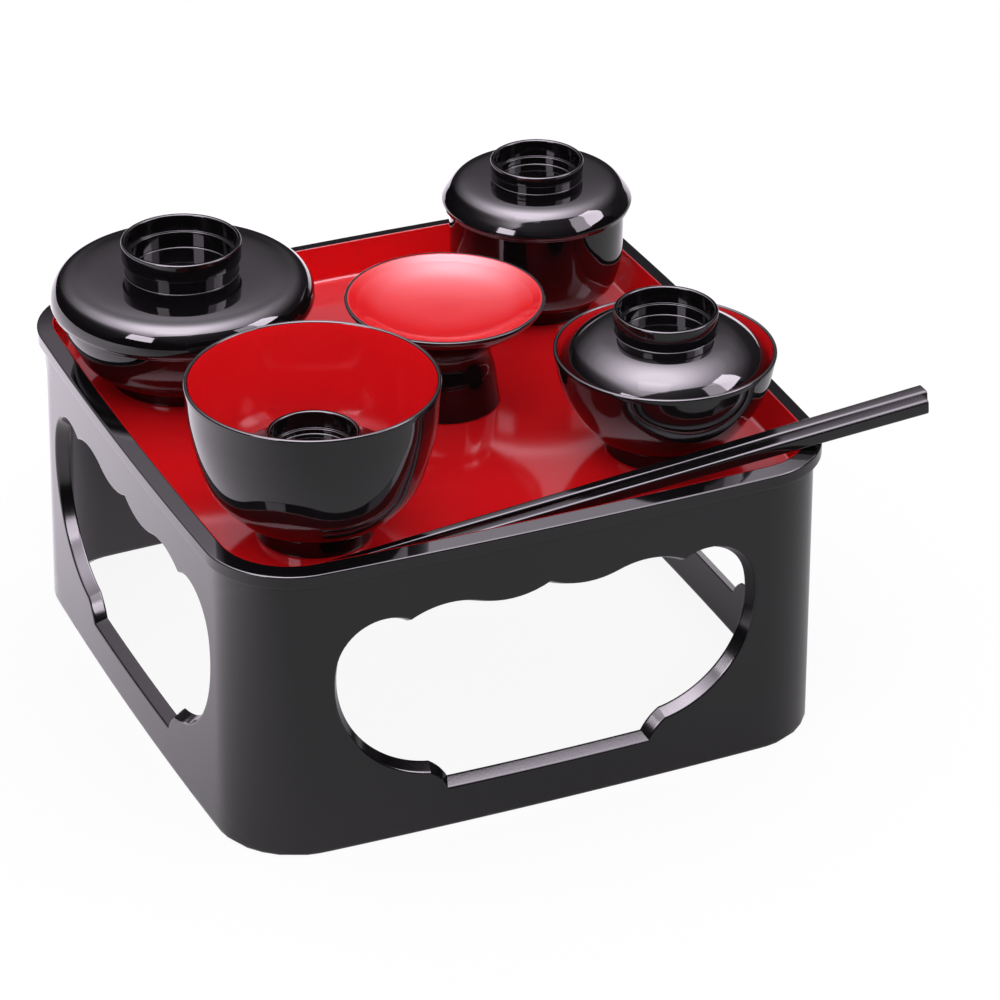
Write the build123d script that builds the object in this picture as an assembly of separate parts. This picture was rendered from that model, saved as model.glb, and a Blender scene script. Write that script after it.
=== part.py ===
from build123d import *
import math
import os

# A ceremonial meal tray on a pierced box stand, set with four lidded and open lacquer
# vessels, a footed dish and a pair of chopsticks. Millimetres, +Z up, -Y is the front.
# The origin is the middle of the stand's foot, on the surface that it stands on.

# ---- tray outline: four bowed sides joined by round corners ----
TRAY_HALF = 92.4          # middle of a side to the centre, over the rim
SIDE_BOW = 2.2            # how far a side bows out beyond the line between its corners
CORNER_RADIUS = 25.1      # at the rim's outer edge

# ---- heights ----
TABLE_HEIGHT = 90.3       # foot to the crest of the tray's rim
TRAY_DEPTH = 10.1         # crest to the tray's floor
FLOOR_THICKNESS = 2.5
LIP_DEPTH = 5.4           # crest to the underside of the overhanging lip

# ---- tray rim, seen in section ----
RIM_EDGE_DROP = 0.8       # the rim's top falls this much from crest to outer edge
RIM_EDGE_RADIUS = 0.6
RIM_WIDTH = 4.8           # outer edge to crest
RIM_CREST_RADIUS = 0.5
LIP_UNDERCUT = 1.5        # the lip's lower edge is drawn in by this much
LIP_UNDERCUT_HEIGHT = 1.0
PAN_WALL = 2.1
PAN_LEAN = 2.9            # how far the inner wall leans in from crest to floor
PAN_FILLET = 1.5
CREST_FLAT = 0.1          # narrow top between the crest and the inner wall
FLOOR_LAP = 5.0           # the rim's section reaches this far over the floor plate

# ---- stand ----
STAND_SETBACK = 1.5       # rim edge to the stand's foot
STAND_DRAFT = 0.7         # the stand narrows by this much from foot to top
STAND_WALL = 3.8
FOOT_EDGE_RADIUS = 0.8
PAN_CLEARANCE = 0.2       # tray pan to the stand's rebate, beside it and below it

# ---- openings in the four walls of the stand, seen from outside ----
# They are drawn on the flat plane that touches the middle of the wall's foot.
OPENING_TAPER = 2.1           # narrower by this much all round at the wall's inner face
OPENING_HALF_WIDTH = 64.2
OPENING_WIDEST_HEIGHT = 52.0
OPENING_SIDE_RADIUS = 34.2
OPENING_SIDE_FOOT = 35.8  # from the middle of the wall to the side curve's lower end
SILL_HEIGHT = 12.15
SILL_HALF_WIDTH = 30.8
SHOULDER_BULGE = 0.55         # rise of the small curve between side and sill
LOBE_RADIUS = 15.6
LOBE_TURN = 11.0              # degrees above level where the side curve becomes the lobe
ARCH_RADIUS = 26.5
ARCH_OFFSET = 29.3            # arch centre from the middle of the wall
ARCH_TOP = 71.9
OGEE_TIP_HEIGHT = 71.7
OGEE_RADIUS = 25.8

# ---- places of the vessels on the tray ----
RICE_INSET = (38.4, 39.4) # axis to the left rim and to the front rim
SOUP_INSET = (38.4, 45.4) # axis to the right rim and to the front rim
FLAT_INSET = (38.1, 45.4) # axis to the left rim and to the back rim
DEEP_INSET = (34.9, 44.4) # axis to the right rim and to the back rim
DISH_PLACE = (8.3, 2.2)       # axis from the middle of the tray

# ---- what all the turned vessels share ----
FOOT_RING = 2.0           # width of the ring that a vessel stands on
FOOT_RECESS = 3.6         # depth of the hollow inside that ring
RIM_THICKNESS = 1.2
WALL_THICKNESS = 1.8      # low in the bowl
BASE_THICKNESS = 3.0      # bottom of the bowl, above the recess
BOTTOM_RISE = 0.3         # the bowl's bottom rises this much from its middle to half the foot's radius
LID_THICKNESS = 1.8
KNOB_WALL = 1.35
KNOB_STEP_DEPTH = 5.0     # ring top to the small step inside it
KNOB_STEP_WIDTH = 0.9
SEAT_GAP = 0.2            # running clearance under a lid that sits on a rim
SINK_GAP = 0.35           # clearance round a lid that sits inside its bowl
SUNK_EDGE_OUT = 0.1       # how far the rounded edge of such a lid stands out
SUNK_EDGE_DROP = 0.2      # and hangs down
SKIRT_DRAFT = 0.5         # a skirt narrows by this much down to its lower edge
SKIRT_EDGE = 0.4          # height of its rounded lower edge
LID_SHOULDER = 3.0        # width of the curve under a lid, from its ledge to its roof
LID_SHOULDER_BULGE = 0.6

# ---- rice bowl: tall, with a small lid deep inside ----
RICE_FOOT_RADIUS = 16.2
RICE_FOOT_HEIGHT = 4.8
RICE_RIM_RADIUS = 34.7
RICE_HEIGHT = 46.4
RICE_WAIST = 0.4          # how far the foot narrows towards the bowl
RICE_SHAPE = [(0.180, 0.036), (0.423, 0.125), (0.693, 0.281), (0.847, 0.486), (0.958, 0.750)]
RICE_LID_SEAT = 17.4      # height of the lid's edge in the bowl
RICE_LID_RISE = 6.4       # lid edge to the foot of its ring
RICE_LID_SHAPE = [(0.395, 0.094), (0.667, 0.312), (0.871, 0.625)]
RICE_KNOB_RADIUS = 12.2
RICE_KNOB_HEIGHT = 6.5
RICE_KNOB_FLARE = 0.7
RICE_KNOB_HOLLOW = 6.4    # ring top to the disc inside it

# ---- soup bowl: wide and low, its lid just inside the rim ----
SOUP_FOOT_RADIUS = 16.5
SOUP_FOOT_HEIGHT = 4.6
SOUP_RIM_RADIUS = 31.3
SOUP_HEIGHT = 30.6
SOUP_WAIST = 0.5
SOUP_SHAPE = [(0.294, 0.092), (0.608, 0.323), (0.863, 0.631)]
SOUP_LID_SEAT = 26.3
SOUP_LID_RISE = 9.9
SOUP_LID_SHAPE = [(0.401, 0.121), (0.707, 0.384), (0.898, 0.707)]
SOUP_KNOB_RADIUS = 14.1
SOUP_KNOB_HEIGHT = 6.6
SOUP_KNOB_FLARE = 0.56
SOUP_KNOB_HOLLOW = 8.3

# ---- flat bowl: broad, under a lid whose skirt hangs outside the rim ----
FLAT_FOOT_RADIUS = 22.0
FLAT_FOOT_HEIGHT = 4.5
FLAT_RIM_RADIUS = 35.3
FLAT_HEIGHT = 24.8
FLAT_WAIST = 0.5
FLAT_SHAPE = [(0.370, 0.065), (0.580, 0.176), (0.739, 0.377), (0.928, 0.653)]
FLAT_SKIRT_GAP = 0.5      # lid skirt to the bowl's rim, at the side
FLAT_SKIRT_WALL = 2.15
FLAT_SKIRT_DROP = 2.0     # rim down to the skirt's lower edge
FLAT_LID_RISE = 8.2       # widest part of the lid to the foot of its ring
FLAT_LID_SHAPE = [
    (0.267, 0.006), (0.497, 0.030), (0.657, 0.075), (0.800, 0.135),
    (0.887, 0.280), (0.952, 0.512), (0.989, 0.756),
]
FLAT_KNOB_RADIUS = 16.2
FLAT_KNOB_HEIGHT = 9.6
FLAT_KNOB_FLARE = 1.05
FLAT_KNOB_HOLLOW = 10.0

# ---- deep bowl: small and upright, under the same kind of lid ----
DEEP_FOOT_RADIUS = 16.8
DEEP_FOOT_HEIGHT = 4.0
DEEP_RIM_RADIUS = 25.8
DEEP_HEIGHT = 34.4
DEEP_WAIST = 0.3
DEEP_SHAPE = [(0.376, 0.045), (0.699, 0.129), (0.935, 0.355), (0.990, 0.660)]
DEEP_SKIRT_GAP = 0.3
DEEP_SKIRT_WALL = 1.9
DEEP_SKIRT_DROP = 1.9
DEEP_LID_RISE = 6.8
DEEP_LID_SHAPE = [
    (0.324, 0.022), (0.507, 0.054), (0.622, 0.102), (0.709, 0.182),
    (0.791, 0.322), (0.878, 0.557), (0.953, 0.793),
]
DEEP_KNOB_RADIUS = 13.2
DEEP_KNOB_HEIGHT = 5.5
DEEP_KNOB_FLARE = 0.5
DEEP_KNOB_HOLLOW = 7.3

# ---- footed dish ----
DISH_FOOT_RADIUS = 15.9
DISH_FOOT_EDGE = 1.2      # upright edge of the foot
DISH_WAIST_RADIUS = 13.2
DISH_WAIST_HEIGHT = 18.0
DISH_RIM_RADIUS = 28.6
DISH_HEIGHT = 32.6
DISH_SHAPE = [(0.441, 0.433), (0.864, 0.808)]
DISH_RIM_WIDTH = 1.4
DISH_HOLLOW_RADIUS = 25.1
DISH_LIP_DROP = 1.3       # rim down to the ring line where the hollow begins
DISH_HOLLOW_DEPTH = 5.6
DISH_HOLLOW_RISE = 0.75   # the hollow's bottom rises this much to half its radius
DISH_FOOT_DRAFT = 0.2

# ---- chopsticks, resting on the tray's floor and on its rim ----
STICK_LENGTH = 181.8
STICK_BUTT_WIDTH = 4.9
STICK_BUTT_HEIGHT = 4.6
STICK_TIP_SIZE = 2.3
STICK_EDGE_SHARE = 0.22   # edge rounding as a share of the stick's width
STICK_REST_GAP = 0.15     # clearance over the floor and over the rim
STICK_OVERHANG = 29.3     # rear butt beyond the tray's rim
STICK_INSET = 17.5        # the rear stick's middle to the tray's front rim
FRONT_STICK_GAP = 0.3     # between the butts
FRONT_STICK_SHIFT = -2.4  # the front butt lies this much further out; below 0 it is drawn in
FRONT_STICK_TURN = 0.0    # degrees; above 0 the front tip swings towards the rear one

# ---- worked-out levels ----
FLOOR_Z = TABLE_HEIGHT - TRAY_DEPTH
FLOOR_UNDERSIDE_Z = FLOOR_Z - FLOOR_THICKNESS
LIP_Z = TABLE_HEIGHT - LIP_DEPTH
RIM_EDGE_Z = TABLE_HEIGHT - RIM_EDGE_DROP

# ---- worked-out places ----
RICE_PLACE = (RICE_INSET[0] - TRAY_HALF, RICE_INSET[1] - TRAY_HALF)
SOUP_PLACE = (TRAY_HALF - SOUP_INSET[0], SOUP_INSET[1] - TRAY_HALF)
FLAT_PLACE = (FLAT_INSET[0] - TRAY_HALF, TRAY_HALF - FLAT_INSET[1])
DEEP_PLACE = (TRAY_HALF - DEEP_INSET[0], TRAY_HALF - DEEP_INSET[1])
REAR_STICK_Y = STICK_INSET - TRAY_HALF


def write(node, solid, place=None):
    """Write one piece to its own file, moved to its place on the tray when it has one."""
    if place is not None:
        solid = Pos(place[0], place[1], FLOOR_Z) * solid
    export_step(solid, f"parts/{node}.step")


# ---------------------------------------------------------------- bowed square outline

def side_arc_radius():
    chord_half = TRAY_HALF - SIDE_BOW
    return (chord_half**2 + SIDE_BOW**2) / (2 * SIDE_BOW)


def corner_centre():
    """Distance of a corner's centre from the middle, along X and along Y alike."""
    radius = side_arc_radius()
    offset = radius - TRAY_HALF
    return (math.sqrt(2 * (radius - CORNER_RADIUS) ** 2 - offset**2) - offset) / 2


def outline(grow):
    """The tray's outline, moved outwards by grow everywhere; it starts in the middle of the +X side."""
    centre = corner_centre()
    side_centre = side_arc_radius() - TRAY_HALF
    side_radius = side_arc_radius() + grow
    corner_radius = CORNER_RADIUS + grow
    side_angle = math.degrees(math.atan2(centre, side_centre + centre))
    arcs = []
    for turn in range(4):
        place = Rot(0, 0, 90 * turn)
        side = Pos(-side_centre, 0)
        arcs.append(place * side * CenterArc((0, 0), side_radius, 0, side_angle))
        corner = CenterArc((centre, centre), corner_radius, side_angle, 90 - 2 * side_angle)
        arcs.append(place * corner)
        arcs.append(place * Rot(0, 0, 90) * side * CenterArc((0, 0), side_radius, -side_angle, side_angle))
    return Wire(arcs)


def crest_reach(y):
    """How far along +X the rim's crest lies at a given distance from the middle."""
    centre = corner_centre()
    radius = CORNER_RADIUS - RIM_WIDTH
    beyond = max(abs(y) - centre, 0.0)
    if beyond > 0:
        return centre + math.sqrt(radius**2 - beyond**2)
    return TRAY_HALF - RIM_WIDTH


def swept(corners):
    """A ring round the tray's outline; corners are (inward distance, height, rounding)."""
    points = [(TRAY_HALF - inward, 0, height) for inward, height, _ in corners]
    radii = [rounding for _, _, rounding in corners]
    section = make_face(FilletPolyline(*points, radius=radii, close=True))
    return sweep(section, path=outline(0))


# ---------------------------------------------------------------- tray

def tray():
    crest_wall_top = RIM_WIDTH + CREST_FLAT
    wall_foot = RIM_WIDTH + PAN_LEAN
    plate_lap = wall_foot + FLOOR_LAP
    pan_foot = wall_foot - PAN_WALL
    pan_top = pan_inset_at_lip()
    rim = swept([
        (LIP_UNDERCUT, LIP_Z, 0),
        (0, LIP_Z + LIP_UNDERCUT_HEIGHT, 0),
        (0, RIM_EDGE_Z, RIM_EDGE_RADIUS),
        (crest_wall_top, TABLE_HEIGHT, RIM_CREST_RADIUS),
        (wall_foot, FLOOR_Z, PAN_FILLET),
        (plate_lap, FLOOR_Z, 0),
        (plate_lap, FLOOR_UNDERSIDE_Z, 0),
        (pan_foot, FLOOR_UNDERSIDE_Z, PAN_FILLET),
        (pan_top, LIP_Z, 0),
    ])
    plate = extrude(make_face(outline(-(wall_foot + 0.6 * FLOOR_LAP))), FLOOR_THICKNESS)
    return rim + Pos(0, 0, FLOOR_UNDERSIDE_Z) * plate


def pan_inset_at_lip():
    """Inward distance of the pan's outer wall where it meets the lip."""
    wall_foot = RIM_WIDTH + PAN_LEAN
    return wall_foot - PAN_WALL - PAN_LEAN * (LIP_Z - FLOOR_UNDERSIDE_Z) / (TRAY_DEPTH + FLOOR_THICKNESS)


# ---------------------------------------------------------------- stand

def meeting(centre_a, radius_a, centre_b, radius_b, side):
    """One of the two points where two circles cross; side is +1 or -1."""
    dx = centre_b[0] - centre_a[0]
    dy = centre_b[1] - centre_a[1]
    gap = math.hypot(dx, dy)
    along = (radius_a**2 - radius_b**2 + gap**2) / (2 * gap)
    across = side * math.sqrt(radius_a**2 - along**2)
    return (
        centre_a[0] + (along * dx - across * dy) / gap,
        centre_a[1] + (along * dy + across * dx) / gap,
    )


def circle_through(a, b, c):
    """Centre and radius of the circle through three points."""
    twice_area = 2 * (a[0] * (b[1] - c[1]) + b[0] * (c[1] - a[1]) + c[0] * (a[1] - b[1]))
    squares = [p[0] ** 2 + p[1] ** 2 for p in (a, b, c)]
    x = squares[0] * (b[1] - c[1]) + squares[1] * (c[1] - a[1]) + squares[2] * (a[1] - b[1])
    y = squares[0] * (c[0] - b[0]) + squares[1] * (a[0] - c[0]) + squares[2] * (b[0] - a[0])
    centre = (x / twice_area, y / twice_area)
    return centre, math.hypot(a[0] - centre[0], a[1] - centre[1])


def arc_on(centre, radius, start, end):
    """Short arc of a circle between two points on it."""
    start_angle = math.atan2(start[1] - centre[1], start[0] - centre[0])
    end_angle = math.atan2(end[1] - centre[1], end[0] - centre[0])
    sweep_angle = (end_angle - start_angle + math.pi) % (2 * math.pi) - math.pi
    middle_angle = start_angle + sweep_angle / 2
    middle = (
        centre[0] + radius * math.cos(middle_angle),
        centre[1] + radius * math.sin(middle_angle),
    )
    return ThreePointArc(start, middle, end)


def shoulder_circle(side_centre):
    """Circle of the small curve between the opening's side and its sill."""
    foot_x = OPENING_SIDE_FOOT
    fall = math.sqrt(OPENING_SIDE_RADIUS**2 - (foot_x - side_centre[0]) ** 2)
    side_foot = (foot_x, side_centre[1] - fall)
    sill_end = (SILL_HALF_WIDTH, SILL_HEIGHT)
    run = (side_foot[0] - sill_end[0], side_foot[1] - sill_end[1])
    length = math.hypot(*run)
    top = (
        sill_end[0] + run[0] / 2 - run[1] / length * SHOULDER_BULGE,
        sill_end[1] + run[1] / 2 + run[0] / length * SHOULDER_BULGE,
    )
    return circle_through(side_foot, top, sill_end)


def opening_face(inward):
    """The opening's outline, moved inward all round.

    It has an ogee top with two arches and two lobes, round sides and a flat sill.
    """
    arch_centre = (ARCH_OFFSET, ARCH_TOP - ARCH_RADIUS)
    arch_radius = ARCH_RADIUS - inward
    side_centre = (OPENING_HALF_WIDTH - OPENING_SIDE_RADIUS, OPENING_WIDEST_HEIGHT)
    side_radius = OPENING_SIDE_RADIUS - inward
    lobe_way = (math.cos(math.radians(LOBE_TURN)), math.sin(math.radians(LOBE_TURN)))
    lobe_reach = OPENING_SIDE_RADIUS - LOBE_RADIUS
    lobe_centre = (side_centre[0] + lobe_reach * lobe_way[0], side_centre[1] + lobe_reach * lobe_way[1])
    lobe_radius = LOBE_RADIUS - inward
    ogee_centre = meeting((0, OGEE_TIP_HEIGHT), OGEE_RADIUS, arch_centre, OGEE_RADIUS + ARCH_RADIUS, 1)
    ogee_radius = OGEE_RADIUS + inward
    ogee_share = ogee_radius / (OGEE_RADIUS + ARCH_RADIUS)
    shoulder_centre, shoulder_radius = shoulder_circle(side_centre)
    shoulder_radius += inward
    sill_z = SILL_HEIGHT + inward

    tip = (0, ogee_centre[1] - math.sqrt(ogee_radius**2 - ogee_centre[0] ** 2))
    ogee_end = (
        ogee_centre[0] + ogee_share * (arch_centre[0] - ogee_centre[0]),
        ogee_centre[1] + ogee_share * (arch_centre[1] - ogee_centre[1]),
    )
    cusp = meeting(arch_centre, arch_radius, lobe_centre, lobe_radius, 1)
    side_top = (side_centre[0] + side_radius * lobe_way[0], side_centre[1] + side_radius * lobe_way[1])
    side_foot = meeting(side_centre, side_radius, shoulder_centre, shoulder_radius, -1)
    sill_reach = math.sqrt(shoulder_radius**2 - (sill_z - shoulder_centre[1]) ** 2)
    sill_end = (shoulder_centre[0] - sill_reach, sill_z)
    half = [
        arc_on(ogee_centre, ogee_radius, tip, ogee_end),
        arc_on(arch_centre, arch_radius, ogee_end, cusp),
        arc_on(lobe_centre, lobe_radius, cusp, side_top),
        arc_on(side_centre, side_radius, side_top, side_foot),
        arc_on(shoulder_centre, shoulder_radius, side_foot, sill_end),
        Line(sill_end, (0, sill_z)),
    ]
    return make_face(half + [mirror(edge, Plane.YZ) for edge in half])


def opening_cutter():
    """What one opening takes out of the front wall, narrower towards the inside."""
    slope = OPENING_TAPER / STAND_WALL
    plane_reach = TRAY_HALF - STAND_SETBACK
    outside = STAND_SETBACK
    inside = SIDE_BOW + STAND_DRAFT + STAND_WALL
    faces = [
        Plane.XZ.offset(plane_reach + outside) * opening_face(-slope * outside),
        Plane.XZ.offset(plane_reach - inside) * opening_face(slope * inside),
    ]
    return loft(faces, ruled=True)


def stand():
    foot_inset = STAND_SETBACK
    top_inset = STAND_SETBACK + STAND_DRAFT
    rebate_inset = pan_inset_at_lip() - PAN_CLEARANCE
    shelf_z = FLOOR_UNDERSIDE_Z - PAN_CLEARANCE
    shelf_share = shelf_z / LIP_Z
    walls = swept([
        (foot_inset, 0, FOOT_EDGE_RADIUS),
        (top_inset, LIP_Z, 0),
        (rebate_inset, LIP_Z, 0),
        (rebate_inset, shelf_z, 0),
        (foot_inset + STAND_WALL + STAND_DRAFT * shelf_share, shelf_z, 0),
        (foot_inset + STAND_WALL, 0, FOOT_EDGE_RADIUS),
    ])
    cutter = opening_cutter()
    for turn in range(4):
        walls -= Rot(0, 0, 90 * turn) * cutter
    return walls


# ---------------------------------------------------------------- turned vessels

def at(radius, height):
    return Vector(radius, 0, height)


def turned(edges):
    """Solid of revolution about the vessel's own axis."""
    return revolve(make_face(edges), Axis.Z)


def spread(start, end, shares):
    """Points between two (radius, height) places, given as shares of the way in each direction."""
    return [
        (start[0] + r * (end[0] - start[0]), start[1] + h * (end[1] - start[1]))
        for r, h in shares
    ]


def offset_points(points, first, last):
    """Points moved to the left of the way they run, by first at the start up to last at the end."""
    moved = []
    for i, (r, h) in enumerate(points):
        before = points[max(i - 1, 0)]
        after = points[min(i + 1, len(points) - 1)]
        dr = after[0] - before[0]
        dh = after[1] - before[1]
        length = math.hypot(dr, dh)
        thickness = first + (last - first) * i / (len(points) - 1)
        moved.append((r - dh / length * thickness, h + dr / length * thickness))
    return moved


def radius_at(curve, height):
    """Radius of a falling inner wall where it passes a height."""
    low = 0.0
    high = 1.0
    for _ in range(40):
        middle = (low + high) / 2
        if (curve @ middle).Z > height:
            low = middle
        else:
            high = middle
    return (curve @ low).X


def bowl_inner_wall(foot_radius, foot_height, waist, rim_radius, height, shape):
    """Curve of a bowl's inner wall, from its rim down to the middle of its bottom."""
    foot_top = (foot_radius - waist, foot_height)
    rim = (rim_radius, height - RIM_THICKNESS / 2)
    wall = spread(foot_top, rim, shape) + [rim]
    inner = offset_points(wall, WALL_THICKNESS, RIM_THICKNESS)
    inner[-1] = (rim_radius - RIM_THICKNESS, rim[1])
    bottom = FOOT_RECESS + BASE_THICKNESS
    points = [at(r, h) for r, h in reversed(inner)] + [
        at(foot_radius / 2, bottom + BOTTOM_RISE),
        at(0, bottom),
    ]
    return Spline(points, tangents=[(0, 0, -1), (-1, 0, 0)])


def bowl(foot_radius, foot_height, waist, rim_radius, height, shape):
    foot_top = (foot_radius - waist, foot_height)
    rim = (rim_radius, height - RIM_THICKNESS / 2)
    wall = [foot_top] + spread(foot_top, rim, shape) + [rim]
    inner = bowl_inner_wall(foot_radius, foot_height, waist, rim_radius, height, shape)
    recess_radius = foot_radius - FOOT_RING
    return turned([
        Line(at(recess_radius, 0), at(foot_radius, 0)),
        Line(at(foot_radius, 0), at(*foot_top)),
        Spline([at(r, h) for r, h in wall]),
        ThreePointArc(
            at(*rim),
            at(rim_radius - RIM_THICKNESS / 2, height),
            at(rim_radius - RIM_THICKNESS, rim[1]),
        ),
        inner,
        Line(inner @ 1, at(0, FOOT_RECESS)),
        Line(at(0, FOOT_RECESS), at(recess_radius, FOOT_RECESS)),
        Line(at(recess_radius, FOOT_RECESS), at(recess_radius, 0)),
    ])


def knob_edges(radius, foot_height, height, flare, hollow):
    """The ring on top of a lid, from the lid's axis out over the ring and down to the ring's foot."""
    top_height = foot_height + height
    top_radius = radius + flare
    inner_radius = top_radius - KNOB_WALL
    step_height = top_height - KNOB_STEP_DEPTH
    disc_height = top_height - hollow
    crown = top_height - KNOB_WALL / 2
    step_radius = inner_radius - KNOB_STEP_WIDTH
    return [
        Line(at(0, disc_height), at(step_radius, disc_height)),
        Line(at(step_radius, disc_height), at(step_radius, step_height)),
        Line(at(step_radius, step_height), at(inner_radius, step_height)),
        Line(at(inner_radius, step_height), at(inner_radius, crown)),
        ThreePointArc(
            at(inner_radius, crown),
            at(top_radius - KNOB_WALL / 2, top_height),
            at(top_radius, crown),
        ),
        Line(at(top_radius, crown), at(radius, foot_height)),
    ]


def sunk_lid(inner_wall, seat, rise, shape, knob_radius, knob_height, flare, hollow):
    """A domed lid that sits inside its bowl, touching nothing but its wall."""
    edge = (radius_at(inner_wall, seat) - SINK_GAP, seat)
    ring_foot = (knob_radius, seat + rise)
    dome = [ring_foot] + spread(ring_foot, edge, shape) + [edge]
    under = offset_points(dome, -LID_THICKNESS, -LID_THICKNESS * 0.75)
    middle_height = ring_foot[1] + knob_height - hollow - LID_THICKNESS
    under[0] = (knob_radius * 0.8, middle_height)
    rounding = at(
        (edge[0] + under[-1][0]) / 2 + SUNK_EDGE_OUT,
        (edge[1] + under[-1][1]) / 2 - SUNK_EDGE_DROP,
    )
    return turned(knob_edges(knob_radius, ring_foot[1], knob_height, flare, hollow) + [
        Spline([at(r, h) for r, h in dome]),
        ThreePointArc(at(*edge), rounding, at(*under[-1])),
        Spline([at(r, h) for r, h in reversed(under)]),
        Line(at(*under[0]), at(0, middle_height)),
        Line(at(0, middle_height), at(0, ring_foot[1] + knob_height - hollow)),
    ])


def capping_lid(rim_radius, rim_height, skirt_gap, skirt_wall, skirt_drop, rise, shape,
                knob_radius, knob_height, flare, hollow):
    """A domed lid that rests on its bowl's rim, with a skirt outside it."""
    seat = rim_height + SEAT_GAP
    skirt_inner = rim_radius + skirt_gap
    widest = (skirt_inner + skirt_wall, rim_height)
    ring_foot = (knob_radius, rim_height + rise)
    dome = [ring_foot] + spread(ring_foot, widest, shape) + [widest]
    edge_height = rim_height - skirt_drop
    edge_round = edge_height + SKIRT_EDGE
    edge_radius = widest[0] - SKIRT_DRAFT
    edge_middle = (edge_radius + skirt_inner) / 2
    middle_height = ring_foot[1] + knob_height - hollow - LID_THICKNESS
    ledge = rim_radius - 1.5 * RIM_THICKNESS
    under_turn = (ledge - LID_SHOULDER, min(middle_height, seat + rise - 1.5 * LID_THICKNESS))
    return turned(knob_edges(knob_radius, ring_foot[1], knob_height, flare, hollow) + [
        Spline([at(r, h) for r, h in dome]),
        Line(at(*widest), at(edge_radius, edge_round)),
        ThreePointArc(
            at(edge_radius, edge_round),
            at(edge_middle, edge_height),
            at(skirt_inner, edge_round),
        ),
        Line(at(skirt_inner, edge_round), at(skirt_inner, seat)),
        Line(at(skirt_inner, seat), at(ledge, seat)),
        ThreePointArc(
            at(ledge, seat),
            at(
                (ledge + under_turn[0]) / 2 + LID_SHOULDER_BULGE,
                (seat + under_turn[1]) / 2 + LID_SHOULDER_BULGE,
            ),
            at(*under_turn),
        ),
        Line(at(*under_turn), at(0, middle_height)),
        Line(at(0, middle_height), at(0, ring_foot[1] + knob_height - hollow)),
    ])


def footed_dish():
    rim = (DISH_RIM_RADIUS, DISH_HEIGHT - DISH_RIM_WIDTH / 2)
    waist = (DISH_WAIST_RADIUS, DISH_WAIST_HEIGHT)
    under = spread(waist, rim, DISH_SHAPE)
    recess_radius = DISH_FOOT_RADIUS - FOOT_RING
    lip = (DISH_HOLLOW_RADIUS, DISH_HEIGHT - DISH_LIP_DROP)
    bottom = DISH_HEIGHT - DISH_HOLLOW_DEPTH
    stem = [
        (DISH_FOOT_RADIUS - DISH_FOOT_DRAFT, DISH_FOOT_EDGE),
        ((DISH_FOOT_RADIUS + DISH_WAIST_RADIUS) / 2, DISH_WAIST_HEIGHT * 0.55),
        waist,
    ]
    return turned([
        Line(at(recess_radius, 0), at(DISH_FOOT_RADIUS, 0)),
        Line(at(DISH_FOOT_RADIUS, 0), at(*stem[0])),
        Spline([at(r, h) for r, h in stem + under + [rim]]),
        ThreePointArc(
            at(*rim),
            at(DISH_RIM_RADIUS - DISH_RIM_WIDTH / 2, DISH_HEIGHT),
            at(DISH_RIM_RADIUS - DISH_RIM_WIDTH, rim[1]),
        ),
        Line(at(DISH_RIM_RADIUS - DISH_RIM_WIDTH, rim[1]), at(*lip)),
        Spline(
            [at(*lip), at(DISH_HOLLOW_RADIUS * 0.55, bottom + DISH_HOLLOW_RISE), at(0, bottom)],
            tangents=[(-1, 0, -0.75), (-1, 0, 0)],
        ),
        Line(at(0, bottom), at(0, FOOT_RECESS)),
        Line(at(0, FOOT_RECESS), at(recess_radius, FOOT_RECESS)),
        Line(at(recess_radius, FOOT_RECESS), at(recess_radius, 0)),
    ])


# ---------------------------------------------------------------- chopsticks

def chopstick():
    """One tapered stick along +X, its underside on the X axis and its butt at the origin."""
    def section(x, width, height):
        shape = RectangleRounded(width, height, STICK_EDGE_SHARE * width)
        return Pos(x, 0, height / 2) * Plane.YZ.location * shape
    butt = section(0, STICK_BUTT_WIDTH, STICK_BUTT_HEIGHT)
    tip = section(-STICK_LENGTH, STICK_TIP_SIZE, STICK_TIP_SIZE * STICK_BUTT_HEIGHT / STICK_BUTT_WIDTH)
    return loft([tip, butt])


def stick_pitch(butt_x, y):
    """Slope of a stick that touches the floor with its tip and the rim's crest further up."""
    rest = crest_reach(abs(y) + STICK_BUTT_WIDTH / 4)
    to_rest = STICK_LENGTH - (butt_x - rest)
    return math.degrees(math.asin(TRAY_DEPTH / to_rest))


def laid_stick(butt_x, y, turn):
    """A stick laid on floor and rim, its butt's middle at (butt_x, y); turn swings its tip to the front."""
    pitch = stick_pitch(butt_x, y)
    rest = crest_reach(abs(y) + STICK_BUTT_WIDTH / 4)
    butt_z = TABLE_HEIGHT + STICK_REST_GAP + (butt_x - rest) * math.tan(math.radians(pitch))
    return Pos(butt_x, y, butt_z) * Rot(0, 0, turn) * Rot(0, -pitch, 0) * chopstick()


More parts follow.
